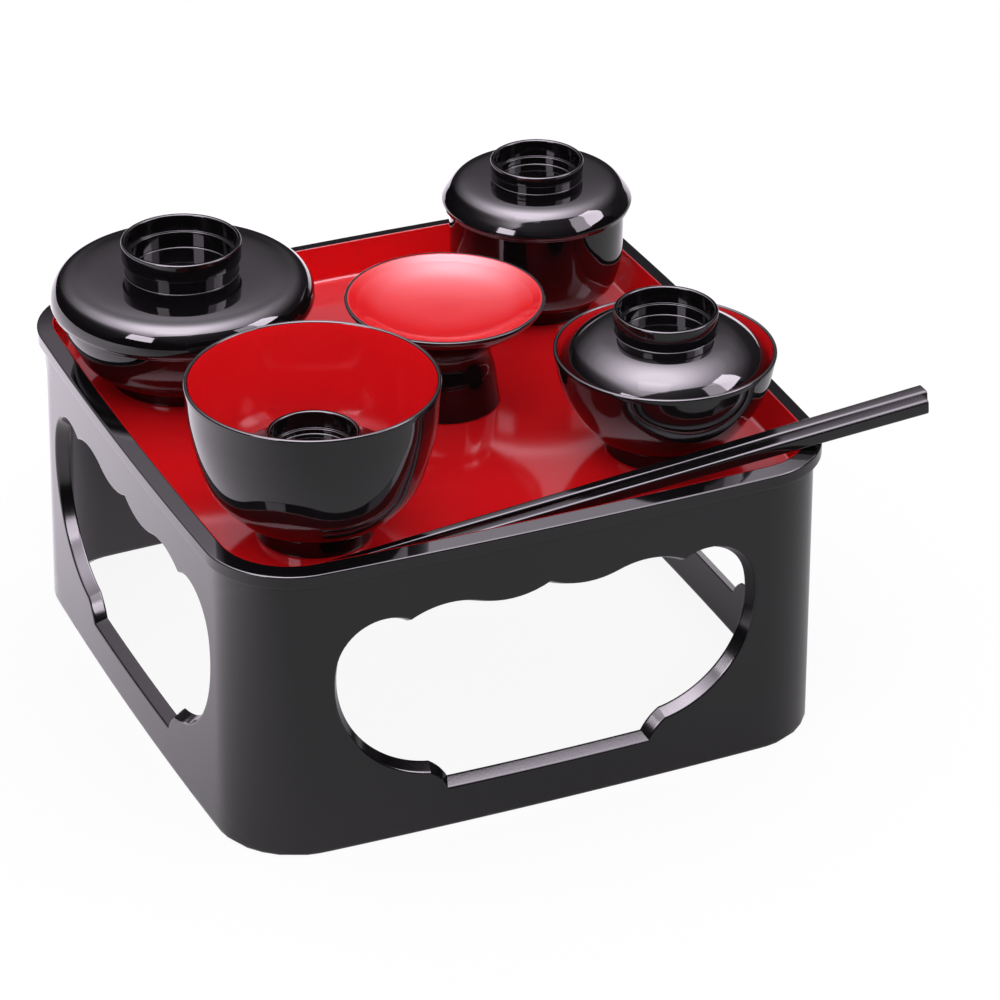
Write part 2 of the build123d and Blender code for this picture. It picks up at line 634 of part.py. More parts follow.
def main():
    os.makedirs("parts", exist_ok=True)
    write("tray", tray())
    write("leg_stand", stand())

    rice = (RICE_FOOT_RADIUS, RICE_FOOT_HEIGHT, RICE_WAIST, RICE_RIM_RADIUS, RICE_HEIGHT, RICE_SHAPE)
    rice_lid = sunk_lid(
        bowl_inner_wall(*rice), RICE_LID_SEAT, RICE_LID_RISE, RICE_LID_SHAPE,
        RICE_KNOB_RADIUS, RICE_KNOB_HEIGHT, RICE_KNOB_FLARE, RICE_KNOB_HOLLOW,
    )
    write("rice_bowl", bowl(*rice), RICE_PLACE)
    write("rice_bowl_lid", rice_lid, RICE_PLACE)

    soup = (SOUP_FOOT_RADIUS, SOUP_FOOT_HEIGHT, SOUP_WAIST, SOUP_RIM_RADIUS, SOUP_HEIGHT, SOUP_SHAPE)
    soup_lid = sunk_lid(
        bowl_inner_wall(*soup), SOUP_LID_SEAT, SOUP_LID_RISE, SOUP_LID_SHAPE,
        SOUP_KNOB_RADIUS, SOUP_KNOB_HEIGHT, SOUP_KNOB_FLARE, SOUP_KNOB_HOLLOW,
    )
    write("soup_bowl", bowl(*soup), SOUP_PLACE)
    write("soup_bowl_lid", soup_lid, SOUP_PLACE)

    flat = (FLAT_FOOT_RADIUS, FLAT_FOOT_HEIGHT, FLAT_WAIST, FLAT_RIM_RADIUS, FLAT_HEIGHT, FLAT_SHAPE)
    flat_lid = capping_lid(
        FLAT_RIM_RADIUS, FLAT_HEIGHT, FLAT_SKIRT_GAP, FLAT_SKIRT_WALL, FLAT_SKIRT_DROP,
        FLAT_LID_RISE, FLAT_LID_SHAPE,
        FLAT_KNOB_RADIUS, FLAT_KNOB_HEIGHT, FLAT_KNOB_FLARE, FLAT_KNOB_HOLLOW,
    )
    write("flat_bowl", bowl(*flat), FLAT_PLACE)
    write("flat_bowl_lid", flat_lid, FLAT_PLACE)

    deep = (DEEP_FOOT_RADIUS, DEEP_FOOT_HEIGHT, DEEP_WAIST, DEEP_RIM_RADIUS, DEEP_HEIGHT, DEEP_SHAPE)
    deep_lid = capping_lid(
        DEEP_RIM_RADIUS, DEEP_HEIGHT, DEEP_SKIRT_GAP, DEEP_SKIRT_WALL, DEEP_SKIRT_DROP,
        DEEP_LID_RISE, DEEP_LID_SHAPE,
        DEEP_KNOB_RADIUS, DEEP_KNOB_HEIGHT, DEEP_KNOB_FLARE, DEEP_KNOB_HOLLOW,
    )
    write("deep_bowl", bowl(*deep), DEEP_PLACE)
    write("deep_bowl_lid", deep_lid, DEEP_PLACE)

    write("footed_dish", footed_dish(), DISH_PLACE)

    rear = (TRAY_HALF + STICK_OVERHANG, REAR_STICK_Y)
    front = (rear[0] + FRONT_STICK_SHIFT, REAR_STICK_Y - STICK_BUTT_WIDTH - FRONT_STICK_GAP)
    write("chopstick_rear", laid_stick(*rear, 0))
    write("chopstick_front", laid_stick(*front, -FRONT_STICK_TURN))
    for name, butt in (("rear", rear), ("front", front)):
        print(name, "chopstick slope in degrees:", round(stick_pitch(*butt), 3))


main()
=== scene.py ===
"""The looks of a lacquer meal tray on a pierced stand, with its lidded bowls, dish and chopsticks.

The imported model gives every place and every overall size. Lengths here are millimetres until a
mesh is made; a mesh is in metres.
"""

import math

import bmesh
import bpy
from mathutils import Matrix, Vector


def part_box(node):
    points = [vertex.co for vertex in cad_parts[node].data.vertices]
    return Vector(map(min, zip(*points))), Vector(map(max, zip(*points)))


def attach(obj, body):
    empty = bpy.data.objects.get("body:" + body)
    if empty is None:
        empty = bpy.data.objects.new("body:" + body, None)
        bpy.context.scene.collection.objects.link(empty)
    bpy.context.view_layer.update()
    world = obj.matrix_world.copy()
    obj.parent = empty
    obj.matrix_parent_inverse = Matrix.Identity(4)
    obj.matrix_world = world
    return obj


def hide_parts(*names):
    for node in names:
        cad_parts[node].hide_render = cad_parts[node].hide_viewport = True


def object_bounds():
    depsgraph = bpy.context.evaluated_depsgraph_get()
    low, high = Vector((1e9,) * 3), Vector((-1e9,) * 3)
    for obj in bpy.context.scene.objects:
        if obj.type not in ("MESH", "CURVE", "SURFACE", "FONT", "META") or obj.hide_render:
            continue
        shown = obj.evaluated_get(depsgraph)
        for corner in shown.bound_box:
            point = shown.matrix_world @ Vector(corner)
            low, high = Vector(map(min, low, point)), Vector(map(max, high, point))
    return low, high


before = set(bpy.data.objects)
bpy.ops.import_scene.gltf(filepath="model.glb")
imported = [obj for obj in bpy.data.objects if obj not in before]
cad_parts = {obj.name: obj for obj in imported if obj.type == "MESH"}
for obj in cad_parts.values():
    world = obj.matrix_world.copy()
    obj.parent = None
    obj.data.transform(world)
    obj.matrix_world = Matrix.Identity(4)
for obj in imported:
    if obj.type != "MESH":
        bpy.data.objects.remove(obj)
cad_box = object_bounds()

MM = 0.001
TURN_STEPS = 160          # facets round a turned vessel
ARC_STEPS = 5             # facets in a small rounded edge
HOLD = 0.25               # a rounded edge's neighbours lie this close, so its shade stays narrow
TRIM_SHARE = 0.45         # a rounding takes at most this share of the spans beside it
HOLD_SHARE = 0.4          # and its neighbours at most this share of what is left
RUN_STEPS = 8             # points from one given point of a smooth run to the next
SECTION_MERGE = 2e-6      # points of a carried section this close, in metres, become one
STAND_MERGE = 3e-6        # and so do those of the stand's walls
RED_FROM = 0.75           # a face is red where its points' share of red is over this


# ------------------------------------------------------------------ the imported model's sizes

class Spot:
    """Where a node stands and how large it is, in millimetres."""

    def __init__(self, node):
        low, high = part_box(node)
        self.x = (low[0] + high[0]) / 2 / MM
        self.y = (low[1] + high[1]) / 2 / MM
        self.bottom = low[2] / MM
        self.top = high[2] / MM
        self.height = self.top - self.bottom
        self.radius = (high[0] - low[0]) / 2 / MM


# ------------------------------------------------------------------ drawing a section

def smooth_run(points):
    """A smooth run of (radius, height) points through given ones."""
    ends = [
        tuple(2 * a - b for a, b in zip(points[0], points[1])),
        tuple(2 * a - b for a, b in zip(points[-1], points[-2])),
    ]
    chain = [ends[0]] + list(points) + [ends[1]]
    run = []
    for p0, p1, p2, p3 in zip(chain, chain[1:], chain[2:], chain[3:]):
        t1 = math.sqrt(math.dist(p0, p1))
        t2 = t1 + math.sqrt(math.dist(p1, p2))
        t3 = t2 + math.sqrt(math.dist(p2, p3))
        for i in range(RUN_STEPS):
            t = t1 + (t2 - t1) * i / RUN_STEPS
            a1 = blend(p0, p1, t / t1)
            a2 = blend(p1, p2, (t - t1) / (t2 - t1))
            a3 = blend(p2, p3, (t - t2) / (t3 - t2))
            b1 = blend(a1, a2, t / t2)
            b2 = blend(a2, a3, (t - t1) / (t3 - t1))
            run.append(blend(b1, b2, (t - t1) / (t2 - t1)))
    run.append(tuple(points[-1]))
    return run


def blend(a, b, share):
    return tuple(u + (v - u) * share for u, v in zip(a, b))


def spread(start, end, shares):
    """Points between two places, given as shares of the way in each direction."""
    return [
        (start[0] + r * (end[0] - start[0]), start[1] + h * (end[1] - start[1]))
        for r, h in shares
    ]


def lifted(points, base):
    """Points of a piece drawn from zero, raised to where the piece stands."""
    return [(r, h + base) for r, h in points]


def offset_run(points, first, last):
    """Points moved to the left of the way they run, by first at the start up to last at the end."""
    moved = []
    for i, (r, h) in enumerate(points):
        before = points[max(i - 1, 0)]
        after = points[min(i + 1, len(points) - 1)]
        dr = after[0] - before[0]
        dh = after[1] - before[1]
        length = math.hypot(dr, dh)
        thickness = first + (last - first) * i / (len(points) - 1)
        moved.append((r - dh / length * thickness, h + dr / length * thickness))
    return moved


class Section:
    """An open outline of (radius, height) points, red or black, with rounded corners."""

    def __init__(self):
        self.corners = []

    def corner(self, r, h, rounding=0.0, red=False):
        self.corners.append((r, h, rounding, red))
        return self

    def run(self, points, red=False, first=0.0, last=0.0):
        """A smooth run; first and last round the corners at its two ends."""
        for i, (r, h) in enumerate(points):
            rounding = first if i == 0 else last if i == len(points) - 1 else 0.0
            self.corners.append((r, h, rounding, red))
        return self

    def points(self):
        out = []
        count = len(self.corners)
        for i, (r, h, rounding, red) in enumerate(self.corners):
            if rounding == 0 or i in (0, count - 1):
                out.append((r, h, red))
                continue
            here = Vector((r, h))
            back = Vector(self.corners[i - 1][:2]) - here
            on = Vector(self.corners[i + 1][:2]) - here
            turn = math.pi - back.angle(on)
            trim = min(rounding * math.tan(turn / 2), back.length * TRIM_SHARE,
                       on.length * TRIM_SHARE)
            start = here + back.normalized() * trim
            end = here + on.normalized() * trim
            hold_in = min(HOLD, (back.length - trim) * HOLD_SHARE)
            hold_out = min(HOLD, (on.length - trim) * HOLD_SHARE)
            out.append((*(start + back.normalized() * hold_in), red))
            for k in range(ARC_STEPS + 1):
                t = k / ARC_STEPS
                p = start.lerp(here, t).lerp(here.lerp(end, t), t)
                out.append((*p, red))
            out.append((*(end + on.normalized() * hold_out), red))
        return out

    def mesh(self, name):
        """The outline as a mesh of edges in the XZ plane, which the turning tree reads."""
        data = bpy.data.meshes.new(name)
        points = self.points()
        data.from_pydata(
            [(r * MM, 0, h * MM) for r, h, _ in points],
            [(i, i + 1) for i in range(len(points) - 1)],
            [],
        )
        flag = data.attributes.new("red", "FLOAT", "POINT")
        for i, (_, _, red) in enumerate(points):
            flag.data[i].value = 1.0 if red else 0.0
        return data


# ------------------------------------------------------------------ a section carried round a path

def carried_section_tree():
    """Carries the modified outline round a path whose points hold their outward direction."""
    tree = bpy.data.node_groups.new("carried section", "GeometryNodeTree")
    face = tree.interface
    face.new_socket("Geometry", in_out="OUTPUT", socket_type="NodeSocketGeometry")
    face.new_socket("Geometry", in_out="INPUT", socket_type="NodeSocketGeometry")
    face.new_socket("Path", in_out="INPUT", socket_type="NodeSocketObject")
    face.new_socket("Place", in_out="INPUT", socket_type="NodeSocketVector")
    face.new_socket("Outside", in_out="INPUT", socket_type="NodeSocketMaterial")
    face.new_socket("Inside", in_out="INPUT", socket_type="NodeSocketMaterial")
    add = tree.nodes.new
    link = tree.links.new
    given = add("NodeGroupInput")
    result = add("NodeGroupOutput")

    path = add("GeometryNodeObjectInfo")
    path.transform_space = "ORIGINAL"
    link(given.outputs["Path"], path.inputs["Object"])

    def point_count(geometry):
        size = add("GeometryNodeAttributeDomainSize")
        size.component = "MESH"
        link(geometry, size.inputs["Geometry"])
        return size.outputs["Point Count"]

    rows = point_count(given.outputs["Geometry"])
    columns = point_count(path.outputs["Geometry"])

    grid = add("GeometryNodeMeshGrid")
    link(columns, grid.inputs["Vertices X"])
    link(rows, grid.inputs["Vertices Y"])

    index = add("GeometryNodeInputIndex")

    def arithmetic(operation, a, b):
        node = add("ShaderNodeMath")
        node.operation = operation
        link(a, node.inputs[0])
        link(b, node.inputs[1])
        return node.outputs[0]

    column = arithmetic("DIVIDE", index.outputs[0], rows)
    floor = add("ShaderNodeMath")
    floor.operation = "FLOOR"
    link(column, floor.inputs[0])
    row = arithmetic("MODULO", index.outputs[0], rows)

    def sampled(geometry, at, kind, value):
        node = add("GeometryNodeSampleIndex")
        node.data_type = kind
        node.domain = "POINT"
        link(geometry, node.inputs["Geometry"])
        link(value, node.inputs["Value"])
        link(at, node.inputs["Index"])
        return node.outputs["Value"]

    def named(kind, name):
        node = add("GeometryNodeInputNamedAttribute")
        node.data_type = kind
        node.inputs["Name"].default_value = name
        return node.outputs["Attribute"]

    position = add("GeometryNodeInputPosition").outputs[0]
    section_point = sampled(given.outputs["Geometry"], row, "FLOAT_VECTOR", position)
    section_red = sampled(given.outputs["Geometry"], row, "FLOAT", named("FLOAT", "red"))
    path_point = sampled(path.outputs["Geometry"], floor.outputs[0], "FLOAT_VECTOR", position)
    outward = sampled(path.outputs["Geometry"], floor.outputs[0], "FLOAT_VECTOR",
                      named("FLOAT_VECTOR", "outward"))

    apart = add("ShaderNodeSeparateXYZ")
    link(section_point, apart.inputs[0])
    reach = add("ShaderNodeVectorMath")
    reach.operation = "SCALE"
    link(outward, reach.inputs[0])
    link(apart.outputs["X"], reach.inputs["Scale"])
    rise = add("ShaderNodeCombineXYZ")
    link(apart.outputs["Z"], rise.inputs["Z"])

    def total(a, b):
        node = add("ShaderNodeVectorMath")
        node.operation = "ADD"
        link(a, node.inputs[0])
        link(b, node.inputs[1])
        return node.outputs[0]

    there = total(total(path_point, reach.outputs[0]),
                  total(rise.outputs[0], given.outputs["Place"]))
    move = add("GeometryNodeSetPosition")
    link(grid.outputs["Mesh"], move.inputs["Geometry"])
    link(there, move.inputs["Position"])

    mark = add("GeometryNodeStoreNamedAttribute")
    mark.data_type = "FLOAT"
    mark.domain = "POINT"
    mark.inputs["Name"].default_value = "red"
    link(move.outputs[0], mark.inputs["Geometry"])
    link(section_red, mark.inputs["Value"])

    merge = add("GeometryNodeMergeByDistance")
    merge.inputs["Distance"].default_value = SECTION_MERGE
    link(mark.outputs[0], merge.inputs["Geometry"])

    smooth = add("GeometryNodeSetShadeSmooth")
    link(merge.outputs[0], smooth.inputs["Geometry"])

    whole = add("GeometryNodeRealizeInstances")
    link(smooth.outputs[0], whole.inputs["Geometry"])

    outside = add("GeometryNodeSetMaterial")
    link(whole.outputs[0], outside.inputs["Geometry"])
    link(given.outputs["Outside"], outside.inputs["Material"])
    is_red = add("FunctionNodeCompare")
    is_red.data_type = "FLOAT"
    is_red.operation = "GREATER_THAN"
    is_red.inputs["B"].default_value = RED_FROM
    link(named("FLOAT", "red"), is_red.inputs["A"])
    inside = add("GeometryNodeSetMaterial")
    link(outside.outputs[0], inside.inputs["Geometry"])
    link(is_red.outputs[0], inside.inputs["Selection"])
    link(given.outputs["Inside"], inside.inputs["Material"])
    link(inside.outputs[0], result.inputs["Geometry"])
    return tree


def shown(name, data):
    """A new object with the given data, in the scene."""
    obj = bpy.data.objects.new(name, data)
    bpy.context.scene.collection.objects.link(obj)
    return obj


def path_object(name, points, directions):
    """A chain of points that a section is carried along, each with its outward direction."""
    data = bpy.data.meshes.new(name)
    data.from_pydata([Vector(p) * MM for p in points], [], [])
    outward = data.attributes.new("outward", "FLOAT_VECTOR", "POINT")
    for i, d in enumerate(directions):
        outward.data[i].vector = d
    return shown(name, data)


def carried(name, section, path, place, outside, inside):
    """One finished mesh: a section carried round a path, turned into plain faces."""
    obj = shown(name, section.mesh(name))
    modifier = obj.modifiers.new("carried section", "NODES")
    modifier.node_group = SECTION_TREE
    values = {"Path": path, "Place": Vector(place) * MM, "Outside": outside, "Inside": inside}
    for item in SECTION_TREE.interface.items_tree:
        if item.in_out == "INPUT" and item.name in values:
            modifier[item.identifier] = values[item.name]
    bpy.context.view_layer.update()
    evaluated = obj.evaluated_get(bpy.context.evaluated_depsgraph_get())
    plain = bpy.data.meshes.new_from_object(evaluated)
    obj.modifiers.clear()
    old = obj.data
    obj.data = plain
    bpy.data.meshes.remove(old)
    plain.name = name
    turn_outwards(obj)
    return obj


def turn_outwards(obj):
    """Closes any flat opening left in the mesh and makes its faces point out."""
    bm = bmesh.new()
    bm.from_mesh(obj.data)
    rims = [e for e in bm.edges if e.is_boundary]
    if rims:
        filled = bmesh.ops.holes_fill(bm, edges=rims, sides=0)["faces"]
        for face in filled:
            neighbours = [e.link_faces for e in face.edges]
            face.material_index = next(
                (f.material_index for pair in neighbours for f in pair if f is not face), 0)
            face.smooth = True
    bmesh.ops.recalc_face_normals(bm, faces=bm.faces)
    bm.to_mesh(obj.data)
    bm.free()


# ------------------------------------------------------------------ the tray's outline

TRAY_HALF = Spot("tray").radius
SIDE_BOW = 2.2            # how far the middle of a side stands out
SIDE_STEPS = 10
CORNER_STEPS = 18
CORNER_RADIUS = 25.1
SIDE_RADIUS = ((TRAY_HALF - SIDE_BOW) ** 2 + SIDE_BOW**2) / (2 * SIDE_BOW)
SIDE_CENTRE = SIDE_RADIUS - TRAY_HALF
CORNER_CENTRE = (
    math.sqrt(2 * (SIDE_RADIUS - CORNER_RADIUS) ** 2 - SIDE_CENTRE**2) - SIDE_CENTRE
) / 2
SIDE_ANGLE = math.atan2(CORNER_CENTRE, SIDE_CENTRE + CORNER_CENTRE)


def quarter_angles():
    """(angle, on corner) pairs along the front side from the left, then round its right corner."""
    side = [(SIDE_ANGLE * (2 * i / SIDE_STEPS - 1), False) for i in range(SIDE_STEPS)]
    corner = [
        (SIDE_ANGLE + (math.pi / 2 - 2 * SIDE_ANGLE) * i / CORNER_STEPS, True)
        for i in range(CORNER_STEPS)
    ]
    return side + corner


def rim_path():
    """The tray's rim line with its outward directions, anticlockwise from the front side."""
    points = []
    directions = []
    for turn in range(4):
        spin = Matrix.Rotation(math.pi / 2 * turn, 3, "Z")
        for angle, on_corner in quarter_angles():
            direction = Vector((math.sin(angle), -math.cos(angle), 0))
            if on_corner:
                point = Vector((CORNER_CENTRE, -CORNER_CENTRE, 0)) + direction * CORNER_RADIUS
            else:
                point = Vector((0, SIDE_CENTRE, 0)) + direction * SIDE_RADIUS
            points.append(spin @ point)
            directions.append(spin @ direction)
    points.append(points[0])
    directions.append(directions[0])
    return path_object("rim_line", points, directions)


def turning_path():
    """A path of no width: a section carried along it is turned about its own axis."""
    angles = [2 * math.pi * i / TURN_STEPS for i in range(TURN_STEPS + 1)]
    directions = [(math.cos(a), math.sin(a), 0) for a in angles]
    directions[-1] = directions[0]
    return path_object("axis", [(0, 0, 0)] * len(angles), directions)


# ------------------------------------------------------------------ finishes

WAVE_SCALE = 70.0         # cells per metre of the surface's broad waves,
GRAIN_SCALE = 1500.0      # of its fine grain,
CLOUD_SCALE = 28.0        # of its changes of gloss and colour,
NIB_SCALE = 260.0         # and of the dust nibs in it
NIB_EDGE = (0.03, 0.07)   # where a nib's slope starts and ends, as a share of its cell
NIB_SHARE = 0.6           # a nib's height beside the grain's
WAVE_HEIGHT = 0.0004      # in metres
GRAIN_HEIGHT = 0.00005
GLOSS_CLOUDS = (0.35, 0.65)
COLOUR_CLOUDS = (0.3, 0.7)
RIPPLE = 0.05             # how much of the waves shows


def surface_group():
    """Fine unevenness of a hand-polished lacquer: waviness, dust nibs and a change of gloss."""
    group = bpy.data.node_groups.new("lacquer surface", "ShaderNodeTree")
    face = group.interface
    for name in ("Ripple", "Nib", "Gloss Low", "Gloss High"):
        face.new_socket(name, in_out="INPUT", socket_type="NodeSocketFloat")
    for name in ("Color", "Tint"):
        face.new_socket(name, in_out="INPUT", socket_type="NodeSocketColor")
    face.new_socket("Color", in_out="OUTPUT", socket_type="NodeSocketColor")
    face.new_socket("Roughness", in_out="OUTPUT", socket_type="NodeSocketFloat")
    face.new_socket("Normal", in_out="OUTPUT", socket_type="NodeSocketVector")
    add = group.nodes.new
    link = group.links.new
    given = add("NodeGroupInput")
    result = add("NodeGroupOutput")
    where = add("ShaderNodeTexCoord")

    def noise(scale, detail):
        node = add("ShaderNodeTexNoise")
        node.inputs["Scale"].default_value = scale
        node.inputs["Detail"].default_value = detail
        link(where.outputs["Object"], node.inputs["Vector"])
        return node.outputs["Fac"]

    def ranged(value, low, high, to_low, to_high):
        node = add("ShaderNodeMapRange")
        node.inputs["From Min"].default_value = low
        node.inputs["From Max"].default_value = high
        for name, bound in (("To Min", to_low), ("To Max", to_high)):
            if isinstance(bound, float):
                node.inputs[name].default_value = bound
            else:
                link(bound, node.inputs[name])
        link(value, node.inputs["Value"])
        return node.outputs["Result"]

    waviness = noise(WAVE_SCALE, 2.0)
    grain = noise(GRAIN_SCALE, 2.0)
    clouds = noise(CLOUD_SCALE, 3.0)
    nibs = add("ShaderNodeTexVoronoi")
    nibs.inputs["Scale"].default_value = NIB_SCALE
    link(where.outputs["Object"], nibs.inputs["Vector"])
    nib_mask = ranged(nibs.outputs["Distance"], *NIB_EDGE, 1.0, 0.0)

    gloss = ranged(clouds, *GLOSS_CLOUDS,
                   given.outputs["Gloss Low"], given.outputs["Gloss High"])
    link(gloss, result.inputs["Roughness"])

    shade = add("ShaderNodeMix")
    shade.data_type = "RGBA"
    link(ranged(clouds, *COLOUR_CLOUDS, 0.0, 1.0), shade.inputs["Factor"])
    link(given.outputs["Color"], shade.inputs["A"])
    link(given.outputs["Tint"], shade.inputs["B"])
    link(shade.outputs["Result"], result.inputs["Color"])

    broad = add("ShaderNodeBump")
    broad.inputs["Distance"].default_value = WAVE_HEIGHT
    link(waviness, broad.inputs["Height"])
    link(given.outputs["Ripple"], broad.inputs["Strength"])
    fine = add("ShaderNodeBump")
    fine.inputs["Distance"].default_value = GRAIN_HEIGHT
    link(given.outputs["Nib"], fine.inputs["Strength"])
    height = add("ShaderNodeMath")
    height.operation = "MULTIPLY_ADD"
    link(nib_mask, height.inputs[0])
    height.inputs[1].default_value = NIB_SHARE
    link(grain, height.inputs[2])
    link(height.outputs[0], fine.inputs["Height"])
    link(broad.outputs["Normal"], fine.inputs["Normal"])
    link(fine.outputs["Normal"], result.inputs["Normal"])
    return group


def lacquer(name, color, tint, nib, gloss):
    """A polished lacquer whose colour drifts to a tint and whose gloss changes."""
    material = bpy.data.materials.new(name)
    material.use_nodes = True
    nodes = material.node_tree.nodes
    link = material.node_tree.links.new
    shader = nodes["Principled BSDF"]
    surface = nodes.new("ShaderNodeGroup")
    surface.node_tree = SURFACE_GROUP
    surface.inputs["Color"].default_value = (*color, 1)
    surface.inputs["Tint"].default_value = (*tint, 1)
    surface.inputs["Ripple"].default_value = RIPPLE
    surface.inputs["Nib"].default_value = nib
    surface.inputs["Gloss Low"].default_value = gloss[0]
    surface.inputs["Gloss High"].default_value = gloss[1]
    link(surface.outputs["Color"], shader.inputs["Base Color"])
    link(surface.outputs["Roughness"], shader.inputs["Roughness"])
    link(surface.outputs["Normal"], shader.inputs["Normal"])
    material.diffuse_color = (*color, 1)
    return material


# ------------------------------------------------------------------ turned vessels

RIM_THICKNESS = 1.2
WALL_THICKNESS = 1.8
BASE_THICKNESS = 3.0
FOOT_RING = 2.0
FOOT_RECESS = 3.6
LID_THICKNESS = 1.8
KNOB_WALL = 1.35
KNOB_STEP_DEPTH = 5.0
KNOB_STEP_WIDTH = 0.9
SEAT_GAP = 0.2
RECESS_ROUNDING = 0.5         # corners under a foot
FOOT_ROUNDING = 0.3
FLOOR_RISE = 0.25             # a bowl's floor is this much higher over its foot than in its middle
CROWN_STEPS = 8               # facets over a bowl's rim
CROWN_BLACK = 6               # points of them that are still black
KNOB_BAND_SHARE = 0.42        # where a knob's band starts, as a share of its height
KNOB_WAIST_FLARE = 0.35       # how much of its flare the knob has there
KNOB_RIM_ROUNDING = 0.62
SUNK_EDGE_SHARE = 0.75        # a sunk lid's thickness at its edge, as a share of its middle's
SUNK_FLAT_SHARE = 0.8         # the flat middle of its underside, as a share of its knob
SUNK_EDGE_ROUNDING = 0.5
CAP_BEND = (0.65, 0.85, 0.65)     # how far the underside bulges between its flat and its ledge
CAP_BEND_SLANT = 0.7
CAP_LEDGE_WIDTH = 3.0

BOWLS = {
    "rice_bowl": {"foot": (16.2, 4.8), "waist": 0.4,
                  "shape": [(0.180, 0.036), (0.423, 0.125), (0.693, 0.281), (0.847, 0.486),
                            (0.958, 0.750)]},
    "soup_bowl": {"foot": (16.5, 4.6), "waist": 0.5,
                  "shape": [(0.294, 0.092), (0.608, 0.323), (0.863, 0.631)]},
    "flat_bowl": {"foot": (22.0, 4.5), "waist": 0.5,
                  "shape": [(0.370, 0.065), (0.580, 0.176), (0.739, 0.377), (0.928, 0.653)]},
    "deep_bowl": {"foot": (16.8, 4.0), "waist": 0.3,
                  "shape": [(0.376, 0.045), (0.699, 0.129), (0.935, 0.355), (0.990, 0.660)]},
}
KNOBS = {
    "rice_bowl_lid": {"radius": 12.2, "height": 6.5, "flare": 0.7, "hollow": 6.4},
    "soup_bowl_lid": {"radius": 14.1, "height": 6.6, "flare": 0.56, "hollow": 8.3},
    "flat_bowl_lid": {"radius": 16.2, "height": 9.6, "flare": 1.05, "hollow": 10.0},
    "deep_bowl_lid": {"radius": 13.2, "height": 5.5, "flare": 0.5, "hollow": 7.3},
}
SUNK_LIDS = {
    "rice_bowl_lid": {"seat": 17.4, "shape": [(0.395, 0.094), (0.667, 0.312), (0.871, 0.625)]},
    "soup_bowl_lid": {"seat": 26.3, "shape": [(0.401, 0.121), (0.707, 0.384), (0.898, 0.707)]},
}
CAPPING_LIDS = {
    "flat_bowl_lid": {"skirt_gap": 0.5, "skirt_wall": 2.15,
                      "shape": [(0.267, 0.006), (0.497, 0.030), (0.657, 0.075), (0.800, 0.135),
                                (0.887, 0.280), (0.952, 0.512), (0.989, 0.756)]},
    "deep_bowl_lid": {"skirt_gap": 0.3, "skirt_wall": 1.9,
                      "shape": [(0.324, 0.022), (0.507, 0.054), (0.622, 0.102), (0.709, 0.182),
                                (0.791, 0.322), (0.878, 0.557), (0.953, 0.793)]},
}


def turned(node, section, spot):
    """A vessel or lid in place of its CAD node, standing where the node stands."""
    obj = carried(node + "_turned", section, AXIS, (spot.x, spot.y, 0), BLACK, RED)
    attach(obj, node)
    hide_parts(node)
    return obj


def bowl_section(node):
    """A bowl from the recess under its foot, up outside, over its rim and down inside."""
    spot = Spot(node)
    size = BOWLS[node]
    base = spot.bottom
    foot_radius, foot_height = size["foot"]
    foot_top = (foot_radius - size["waist"], foot_height)
    rim = (spot.radius, spot.height - RIM_THICKNESS / 2)
    wall = [foot_top] + spread(foot_top, rim, size["shape"]) + [rim]
    inner = offset_run(wall[1:], WALL_THICKNESS, RIM_THICKNESS)
    inner[-1] = (rim[0] - RIM_THICKNESS, rim[1])
    bottom = FOOT_RECESS + BASE_THICKNESS
    inner = list(reversed(inner)) + [(foot_radius / 2, bottom + FLOOR_RISE), (0, bottom)]
    recess = foot_radius - FOOT_RING
    section = Section()
    section.corner(0, FOOT_RECESS + base)
    section.corner(recess, FOOT_RECESS + base, RECESS_ROUNDING)
    section.corner(recess, base, FOOT_ROUNDING)
    section.corner(foot_radius, base, 0.35)
    section.run(lifted(smooth_run(wall), base), first=0.45)
    crown = [
        (rim[0] - RIM_THICKNESS / 2 * (1 - math.cos(a)), rim[1] + RIM_THICKNESS / 2 * math.sin(a))
        for a in (math.pi * i / CROWN_STEPS for i in range(1, CROWN_STEPS))
    ]
    section.run(lifted(crown[:CROWN_BLACK], base))
    section.run(lifted(crown[CROWN_BLACK:], base), red=True)
    section.run(lifted(smooth_run(inner), base), red=True)
    return section, spot


def knob_section(section, node, ring_foot, base):
    """The ring on a lid, from its foot on the dome up and over and down to the disc inside."""
    size = KNOBS[node]
    top_height = ring_foot[1] + size["height"]
    top_radius = size["radius"] + size["flare"]
    inner_radius = top_radius - KNOB_WALL
    band = ring_foot[1] + size["height"] * KNOB_BAND_SHARE
    step = top_height - KNOB_STEP_DEPTH
    disc = top_height - size["hollow"]
    section.corner(ring_foot[0], ring_foot[1] + base, 0.35)
    section.corner(size["radius"] + size["flare"] * KNOB_WAIST_FLARE, band + base, 0.12)
    section.corner(top_radius - 0.1, band + 0.25 + base, 0.2)
    section.corner(top_radius, top_height + base, KNOB_RIM_ROUNDING)
    section.corner(inner_radius, top_height + base, KNOB_RIM_ROUNDING)
    section.corner(inner_radius, step + base, 0.15)
    section.corner(inner_radius - KNOB_STEP_WIDTH, step + base, 0.25)
    section.corner(inner_radius - KNOB_STEP_WIDTH, disc + base, 0.4)
    section.corner(0, disc + base)


